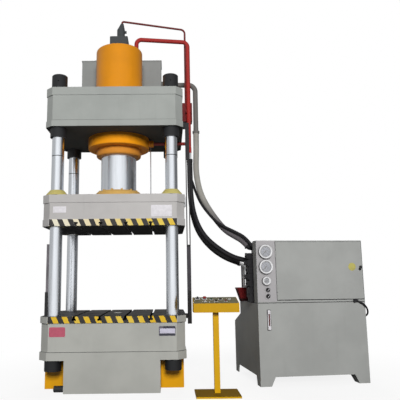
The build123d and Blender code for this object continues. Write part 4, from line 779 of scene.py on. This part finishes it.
class PRESS_OT_gauges(bpy.types.Operator):
    """Dials with tick marks, bright bezels and flat glasses on the three gauges."""

    bl_idname = "press.gauges"
    bl_label = "Gauges"

    def execute(self, context):
        ticks = context.scene.press_sizes.dial_ticks
        turn = np.radians(DIAL_START - np.linspace(0, DIAL_SWEEP, ticks + 1))
        major = np.arange(ticks + 1) % 5 == 0
        spoke = np.stack([np.cos(turn), np.sin(turn)], 1)
        half_width = np.stack([-np.sin(turn), np.cos(turn)], 1) * np.where(major, 0.001, 0.0005)[:, None]
        bezel_steps = [(-0.0025, -0.012), (-0.0025, 0.001), (-0.001, 0.0035), (0.004, 0.0052), (0.012, 0.0044),
                       (BEZEL_WIDTH, 0.0012), (BEZEL_WIDTH + 0.0005, -0.0002), (0.007, -0.0005),
                       (0.0004, -0.0005), (0.0002, -0.012)]
        glass_steps = [(0, -0.0012), (0, -0.0002), (0.0003, 0.0)]
        for name, height, radius in GAUGES:
            middle = unit_point(GAUGE_ACROSS, -GAUGE_FACE, height)
            floor_of_case = middle - UNIT_FRONT * CASE_DEPTH
            dial = pile(circle(radius - 0.0096, 64), [(0, 0), (0, 0.0012), (0.0004, 0.0014)], floor_of_case)
            piece(name + "_dial", dial, "gauge dial", "gauge_case")
            outer_end = spoke * (radius - BEZEL_WIDTH) * TICK_RIM
            inner_end = outer_end * (1 - np.where(major, LONG_TICK, SHORT_TICK))[:, None]
            corners = np.stack([inner_end - half_width, outer_end - half_width,
                                outer_end + half_width, inner_end + half_width], 1)
            face = floor_of_case + UNIT_FRONT * 0.00155
            points = (face + corners[..., :1] * ACROSS + corners[..., 1:] * UP).reshape(-1, 3)
            marks_shape = (points, np.arange(len(points)).reshape(-1, 4).tolist())
            marks = piece(name + "_ticks", marks_shape, "pointer black", "needle_black", smooth=False)
            marks.modifiers.new("depth", "SOLIDIFY").thickness = 0.0003
            bezel = pile(circle(radius, 72), bezel_steps, middle, ring=True)
            piece(name + "_bezel", bezel, "bright bezel", "steel_bright")
            glass = pile(circle(radius - BEZEL_WIDTH - 0.0002, 64), glass_steps, middle)
            piece(name + "_glass", glass, "gauge glass", "gauge_case")
        return {"FINISHED"}


# Left, right, bottom and top of the door's seal; width, depth and floor height of the cabinet
DOOR_SEAL = (0.2475, 1.4095, 1.027, 1.7655)
CABINET_WIDTH, CABINET_DEPTH, CABINET_FLOOR = 1.412, 0.49, 1.0
LEVEL_GAUGE = unit_point(0.136, 0.0, 0.792)
STACK_DEEP, STACK_SIDE, VALVE_LOWEST, VALVE_PITCH = 0.247, -0.035, 1.152, 0.088
DRAIN_FOOT, DRAIN_LENGTH = unit_point(-0.006, 0.7, 1.186), 0.316
SELECTORS = [("selector_upper", 1.161), ("selector_lower", 1.084)]
SELECTOR_MARK_GLINT_TURN = math.radians(52)
DOOR_KNOB = unit_point(1.38, -0.004, 1.437)


class PRESS_OT_cabinet_trim(bpy.types.Operator):
    """Seal round the door, joint under the cabinet, level gauge, valve coils, drain line, selector marks that are also
    painted glints, and knob.
    """

    bl_idname = "press.cabinet_trim"
    bl_label = "Cabinet trim"

    def execute(self, context):
        left, right, low, high = DOOR_SEAL
        bead = [(0, 0), (0, 0.0022), (0.002, 0.0026), (0.012, 0.0003), (0.012, 0)]
        seal_middle = unit_point((left + right) / 2, 0.0, (low + high) / 2)
        seal = pile(rounded(right - left, high - low, 0.004), bead, seal_middle, ring=True)
        piece("door_seal", seal, "door gasket", "nut_black")
        band = [(-0.0012, -0.004), (-0.0012, 0.004), (0.003, 0.004), (0.003, -0.004)]
        joint_middle = unit_point(CABINET_WIDTH / 2, CABINET_DEPTH / 2, CABINET_FLOOR)
        joint = pile(rounded(CABINET_WIDTH, CABINET_DEPTH, 0.003), band, joint_middle, ACROSS, DEEP, ring=True)
        piece("cabinet_joint", joint, "door gasket", "nut_black")

        back = pile(rounded(0.05, 0.252, 0.008), [(0, 0), (0, 0.003), (0.001, 0.004)], LEVEL_GAUGE)
        piece("level_gauge_back", back, "door gasket", "nut_black")
        bar_steps = [(0, 0.003), (0, 0.009), (0.0015, 0.0105)]
        block_steps = [(0, 0.01), (0, 0.019), (0.002, 0.0215)]
        screw_steps = [(0, 0.0215), (0, 0.0235), (0.0012, 0.0245)]
        white = [pile(rounded(0.036, 0.239, 0.008), bar_steps, LEVEL_GAUGE)]
        for side in (-1, 1):
            white.append(pile(rounded(0.036, 0.046, 0.007), block_steps, LEVEL_GAUGE + UP * side * 0.096))
            white.append(pile(circle(0.0075, 20), screw_steps, LEVEL_GAUGE + UP * side * 0.1))
        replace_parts(piece("level_gauge_ends", join(white), "pale label", "gauge_case"), "oil_level_gauge")
        tube_steps = [(0, 0.01), (0.0005, 0.0165), (0.003, 0.0195), (0.0065, 0.0205)]
        tube = pile(rounded(0.0165, 0.148, 0.007), tube_steps, LEVEL_GAUGE)
        piece("level_gauge_tube", tube, "level tube oil", "button_red")

        foot_place = unit_point(0.021, STACK_DEEP, CABINET_FLOOR)
        foot = pile(rounded(0.132, 0.09, 0.006), [(0, 0.0005), (0, 0.11), (0.001, 0.111)], foot_place, ACROSS, DEEP)
        piece("valve_stack_foot", foot, "valve stack black", "nut_black")
        coils = []
        coil_steps, nut_steps = [(0, 0), (0, 0.028), (0.003, 0.032)], [(0, 0), (0, 0.01), (0.002, 0.012)]
        for step in range(1, 6):
            height = VALVE_LOWEST + step * VALVE_PITCH
            coil_place = unit_point(STACK_SIDE, STACK_DEEP, height)
            nut_place = unit_point(STACK_SIDE - 0.032, STACK_DEEP, height)
            coils.append(pile(rounded(0.078, 0.078, 0.012), coil_steps, coil_place, UNIT_FRONT, UP))
            coils.append(pile(circle(0.013, 20), nut_steps, nut_place, UNIT_FRONT, UP))
        duct_place = unit_point(STACK_SIDE, 0.292, 1.412)
        coils.append(pile(rounded(0.03, 0.45, 0.004), [(0, 0), (0, 0.027)], duct_place, UNIT_FRONT, UP))
        piece("valve_coils", join(coils), "black plastic", "nut_black")
        drain_steps = [(0, 0), (0, DRAIN_LENGTH), (0.001, DRAIN_LENGTH + 0.001)]
        drain = pile(circle(0.008, 20), drain_steps, DRAIN_FOOT, ACROSS, DEEP)
        piece("riser_drain_line", drain, "black plastic", "nut_black")

        # Pale marks on the selector grips: indicator lines, and also painted glints on the black knobs.
        along = ACROSS * math.cos(SELECTOR_MARK_GLINT_TURN) + UP * math.sin(SELECTOR_MARK_GLINT_TURN)
        across = np.cross(UNIT_FRONT, along)
        mark_glint_steps = [(0, 0), (0, 0.0004), (0.0004, 0.0006)]
        for name, height in SELECTORS:
            mark_glint = pile(rounded(0.036, 0.005, 0.0015), mark_glint_steps, unit_point(0.133, -0.0355, height), along, across)
            piece(name + "_mark", mark_glint, "pale label", "gauge_case", name)
        knob = pile(circle(0.019, 36), [(0, 0), (0, 0.012), (0.002, 0.015), (0.012, 0.0155)], DOOR_KNOB)
        piece("door_knob", knob, "black plastic", "knob_black", "cabinet_door")
        return {"FINISHED"}


# Across and up from the panel's middle
PANEL_LAMPS = [(-0.122, -0.056), (0.166, 0.022)]
PANEL_CONTROLS = [(-0.204, 0.062), (-0.122, 0.06), (-0.044, 0.022), (0.004, -0.05), (0.062, 0.022), (0.116, -0.05)]


def panel_piece(outline, steps, spot, ring=False):
    """A form on the sloped panel: pile() at this place across and up from the panel's middle."""
    across, up = spot
    return pile(outline, steps, PANEL_FACE + RIGHT * across + PANEL_UP * up, RIGHT, PANEL_UP, ring)


class PRESS_OT_panel_trim(bpy.types.Operator):
    """Bare legend plates, collars, lamps and screws on the pedestal's panel."""

    bl_idname = "press.panel_trim"
    bl_label = "Panel trim"

    def execute(self, context):
        legend_steps = [(0, 0), (0, 0.0008), (0.0004, 0.001)]
        collar_steps = [(-0.0022, 0.0), (-0.0022, 0.003), (-0.0012, 0.0045), (0.0003, 0.0045), (0.0003, 0.0)]
        lens_steps = [(0, 0.005), (0, 0.0075), (0.001, 0.0092), (0.003, 0.0106), (0.006, 0.0113)]
        legends, collars, lenses = [], [], []
        for spot in PANEL_CONTROLS:
            width, height = (0.056, 0.058) if spot[0] < -0.1 else (0.042, 0.046)
            legends.append(panel_piece(rounded(width, height, 0.005), legend_steps, spot))
            collars.append(panel_piece(circle(0.016, 36), collar_steps, spot, ring=True))
        for spot in PANEL_LAMPS:
            legends.append(panel_piece(rounded(0.034, 0.04, 0.005), legend_steps, spot))
            collars.append(panel_piece(circle(0.0105, 32), [(0, 0), (0, 0.005), (0.0008, 0.0058)], spot))
            lenses.append(panel_piece(circle(0.0085, 32), lens_steps, spot))
        piece("panel_lamps", join(lenses), "lamp lens", "gauge_case")
        piece("legend_plates", join(legends), "pale label", "gauge_case")
        piece("control_collars", join(collars), "pointer black", "needle_black")
        screw_steps = [(0, 0), (0, 0.0014), (0.0009, 0.0021)]
        spots = [(across, up) for across in (-0.246, 0.246) for up in (-0.124, 0.124)]
        screws = [panel_piece(circle(0.0042, 16), screw_steps, spot) for spot in spots]
        piece("panel_screws", join(screws), "zinc-plated steel", "steel_bright")
        return {"FINISHED"}


FLANGE_TOP, SCREW_CIRCLE, SCREW_RADIUS = 2.481, 0.257, 0.0125


class PRESS_OT_screws(bpy.types.Operator):
    """Twelve socket cap screws on the ram flange, each socket a flat black hexagon on its round head: painted shade."""

    bl_idname = "press.screws"
    bl_label = "Cap screws"

    def execute(self, context):
        head_steps = np.array([(0, 0), (0, 1.5), (0.16, 1.66), (0.42, 1.66)]) * SCREW_RADIUS
        socket_shade_steps = np.array([(0, 1.67), (0, 1.68), (0.2, 1.68)]) * SCREW_RADIUS
        heads, socket_shades = [], []
        for turn in np.radians(np.arange(12) * 30 + 15):
            spot = np.array([SCREW_CIRCLE * math.cos(turn), SCREW_CIRCLE * math.sin(turn), FLANGE_TOP])
            heads.append(pile(circle(SCREW_RADIUS, 20), head_steps, spot, RIGHT, BACK))
            # A flat black hexagon stands for each socket: painted shade.
            socket_shades.append(pile(hexagon(SCREW_RADIUS), socket_shade_steps, spot, RIGHT, BACK))
        piece("flange_screws", join(heads), "ram flange ochre enamel", "nut_black", "slide")
        piece("flange_screw_pockets", join(socket_shades), "pointer black", "needle_black", "slide", smooth=False)
        return {"FINISHED"}


# Stage

# Name, place, target, width and height, power, tint
LAMPS = [
    ("key", (1.5, -16.0, 7.0), (0.6, 0.0, 2.2), (5.0, 4.0), 2500, (1.0, 0.99, 0.975)),
    ("left", (-9.0, 1.5, 7.0), (0.0, 0.0, 2.5), (4.0, 3.0), 80, (1, 1, 1)),
    ("right", (11.0, 1.5, 6.5), (0.6, 0.0, 2.5), (4.0, 3.0), 118, (1, 1, 1)),
    ("back", (1.0, 12.0, 6.5), (0.5, 0.0, 2.5), (5.0, 3.0), 1000, (1, 1, 1)),
]
EYE = (0.6687, -6.8292, 1.3)
YAW, PITCH, ROLL = 0.0091, 0.1564, -0.0106
PICTURE, FOCAL, AIM_COLUMN = 400, 505.4, 172.1


class PRESS_OT_stage(bpy.types.Operator):
    """Pale floor, a plain studio round the object, soft lamps and the camera of the photograph."""

    bl_idname = "press.stage"
    bl_label = "Stage"

    def execute(self, context):
        for part in (self.lay_floor, self.fill_world, self.hang_lamps, self.place_camera):
            part(context.scene)
        context.scene.view_settings.view_transform = "Standard"
        return {"FINISHED"}

    def lay_floor(self, scene):
        """White to the eye, fading a little near the object, dark to mirrored rays behind it, and shaded by it."""
        f = Finish("pale floor")
        rays = f.node("LightPath", output="Is Camera Ray")
        f.coat(base_color=f.mix(rays, (0.04, 0.04, 0.04), (0.86, 0.86, 0.86)), roughness=0.8)
        seen = rays + rays.outlet("Is Transmission Ray")
        mirrored = rays.outlet("Is Glossy Ray") * f.axis(1).ramp(-6.0, 1.0, 0.9, 0.0)
        reach = f.node("VectorMath", {0: f.place, 1: (1.1, 0.0, 0.0)}, "Value", operation="DISTANCE")
        share = (seen.math("MINIMUM", 1.0) * reach.ramp(1.4, 4.5, 0.86, 1.0)).math("MAXIMUM", mirrored)
        white = f.node("Emission", {"Color": (1, 1, 1), "Strength": 1.0})
        mixed = f.node("MixShader", {0: share, 1: Link(f, f.shader.outputs[0]), 2: white})
        f.tree.links.new(mixed.socket, f.tree.nodes["Material Output"].inputs["Surface"])
        floor = bpy.data.meshes.new("floor")
        floor.from_pydata([(-20, -14, 0), (24, -14, 0), (24, 30, 0), (-20, 30, 0)], [], [[0, 1, 2, 3]])
        floor.materials.append(f.material)
        floor_piece = bpy.data.objects.new("floor", floor)
        scene.collection.objects.link(floor_piece)

    def fill_world(self, scene):
        """White to the eye, faint soft light otherwise, and for mirrored rays bright ahead and dimmer to the sides."""
        world = bpy.data.worlds.new("studio")
        scene.world = world
        world.use_nodes = True
        tree = world.node_tree
        tree.nodes.clear()
        studio = Graph(tree)
        rays = studio.node("LightPath", output="Is Camera Ray")
        glossy = rays.outlet("Is Glossy Ray")
        way = studio.node("TexCoord", output="Generated")
        ahead = studio.node("VectorMath", {0: way, 1: (0.17, -0.985, 0.0)}, "Value", operation="DOT_PRODUCT")
        sideways = studio.node("SeparateXYZ", {0: way})
        side = studio.node("MapRange", {0: sideways, 1: -1.0, 2: 1.0, 3: 0.15, 4: -0.19})
        mirrored = ahead.ramp(0.4, 0.98, 0.36, 1.07) + side
        strength = studio.node("Mix", {0: glossy, 2: 1.0, 3: mirrored})
        plain = studio.node("Background", {0: (1, 1, 1), 1: strength})
        soft = studio.node("Background", {0: (0.95, 0.97, 1.0), 1: 0.085})
        seen = rays.math("MAXIMUM", glossy).math("MAXIMUM", rays.outlet("Is Transmission Ray"))
        mixer = studio.node("MixShader", {0: seen, 1: soft, 2: plain})
        tree.links.new(mixer.socket, tree.nodes.new("ShaderNodeOutputWorld").inputs[0])

    def hang_lamps(self, scene):
        for name, place, target, size, power, tint in LAMPS:
            data = bpy.data.lights.new(name, "AREA")
            data.shape = "RECTANGLE"
            data.size, data.size_y = size
            data.energy = power
            data.color = tint
            made = bpy.data.objects.new(name, data)
            scene.collection.objects.link(made)
            made.location = place
            made.visible_glossy = False
            made.rotation_euler = (Vector(place) - Vector(target)).to_track_quat("Z", "Y").to_euler()

    def place_camera(self, scene):
        """Turns the camera by yaw and pitch, then rolls it about its line of sight."""
        camera = bpy.data.cameras.new("camera")
        camera.sensor_width = 36.0
        camera.sensor_fit = "HORIZONTAL"
        camera.lens = FOCAL / PICTURE * camera.sensor_width
        camera.shift_x = (PICTURE / 2 - AIM_COLUMN) / PICTURE
        camera.clip_end = 100
        made = bpy.data.objects.new("camera", camera)
        scene.collection.objects.link(made)
        ahead = np.array([math.sin(YAW) * math.cos(PITCH), math.cos(YAW) * math.cos(PITCH), math.sin(PITCH)])
        level = np.array([math.cos(YAW), -math.sin(YAW), 0.0])
        above = np.cross(level, ahead)
        matrix = np.eye(4)
        matrix[:3, 0] = math.cos(ROLL) * level + math.sin(ROLL) * above
        matrix[:3, 1] = -math.sin(ROLL) * level + math.cos(ROLL) * above
        matrix[:3, 2], matrix[:3, 3] = -ahead, EYE
        made.matrix_world = Matrix(matrix.tolist())
        scene.camera = made


STEPS = ["finishes", "hoses", "tapes", "labels", "gauges", "cabinet_trim", "panel_trim", "screws", "stage"]


class PRESS_PT_looks(bpy.types.Panel):
    bl_label = "Hydraulic press"
    bl_space_type = "VIEW_3D"
    bl_region_type = "UI"
    bl_category = "Press"

    def draw(self, context):
        for group in (context.scene.press_colours, context.scene.press_sizes):
            for key in group.__annotations__:
                self.layout.prop(group, key)
        for step in STEPS:
            self.layout.operator("press." + step)


CLASSES = [
    PressColours, PressSizes, PRESS_OT_finishes, PRESS_OT_hoses, PRESS_OT_tapes, PRESS_OT_labels, PRESS_OT_gauges,
    PRESS_OT_cabinet_trim, PRESS_OT_panel_trim, PRESS_OT_screws, PRESS_OT_stage, PRESS_PT_looks,
]


def register():
    for cls in CLASSES:
        bpy.utils.register_class(cls)
    bpy.types.Scene.press_colours = bpy.props.PointerProperty(type=PressColours)
    bpy.types.Scene.press_sizes = bpy.props.PointerProperty(type=PressSizes)


def unregister():
    del bpy.types.Scene.press_colours
    del bpy.types.Scene.press_sizes
    for cls in reversed(CLASSES):
        bpy.utils.unregister_class(cls)


def main():
    register()
    for step in STEPS:
        getattr(bpy.ops.press, step)()


if __name__ == "__main__":
    main()
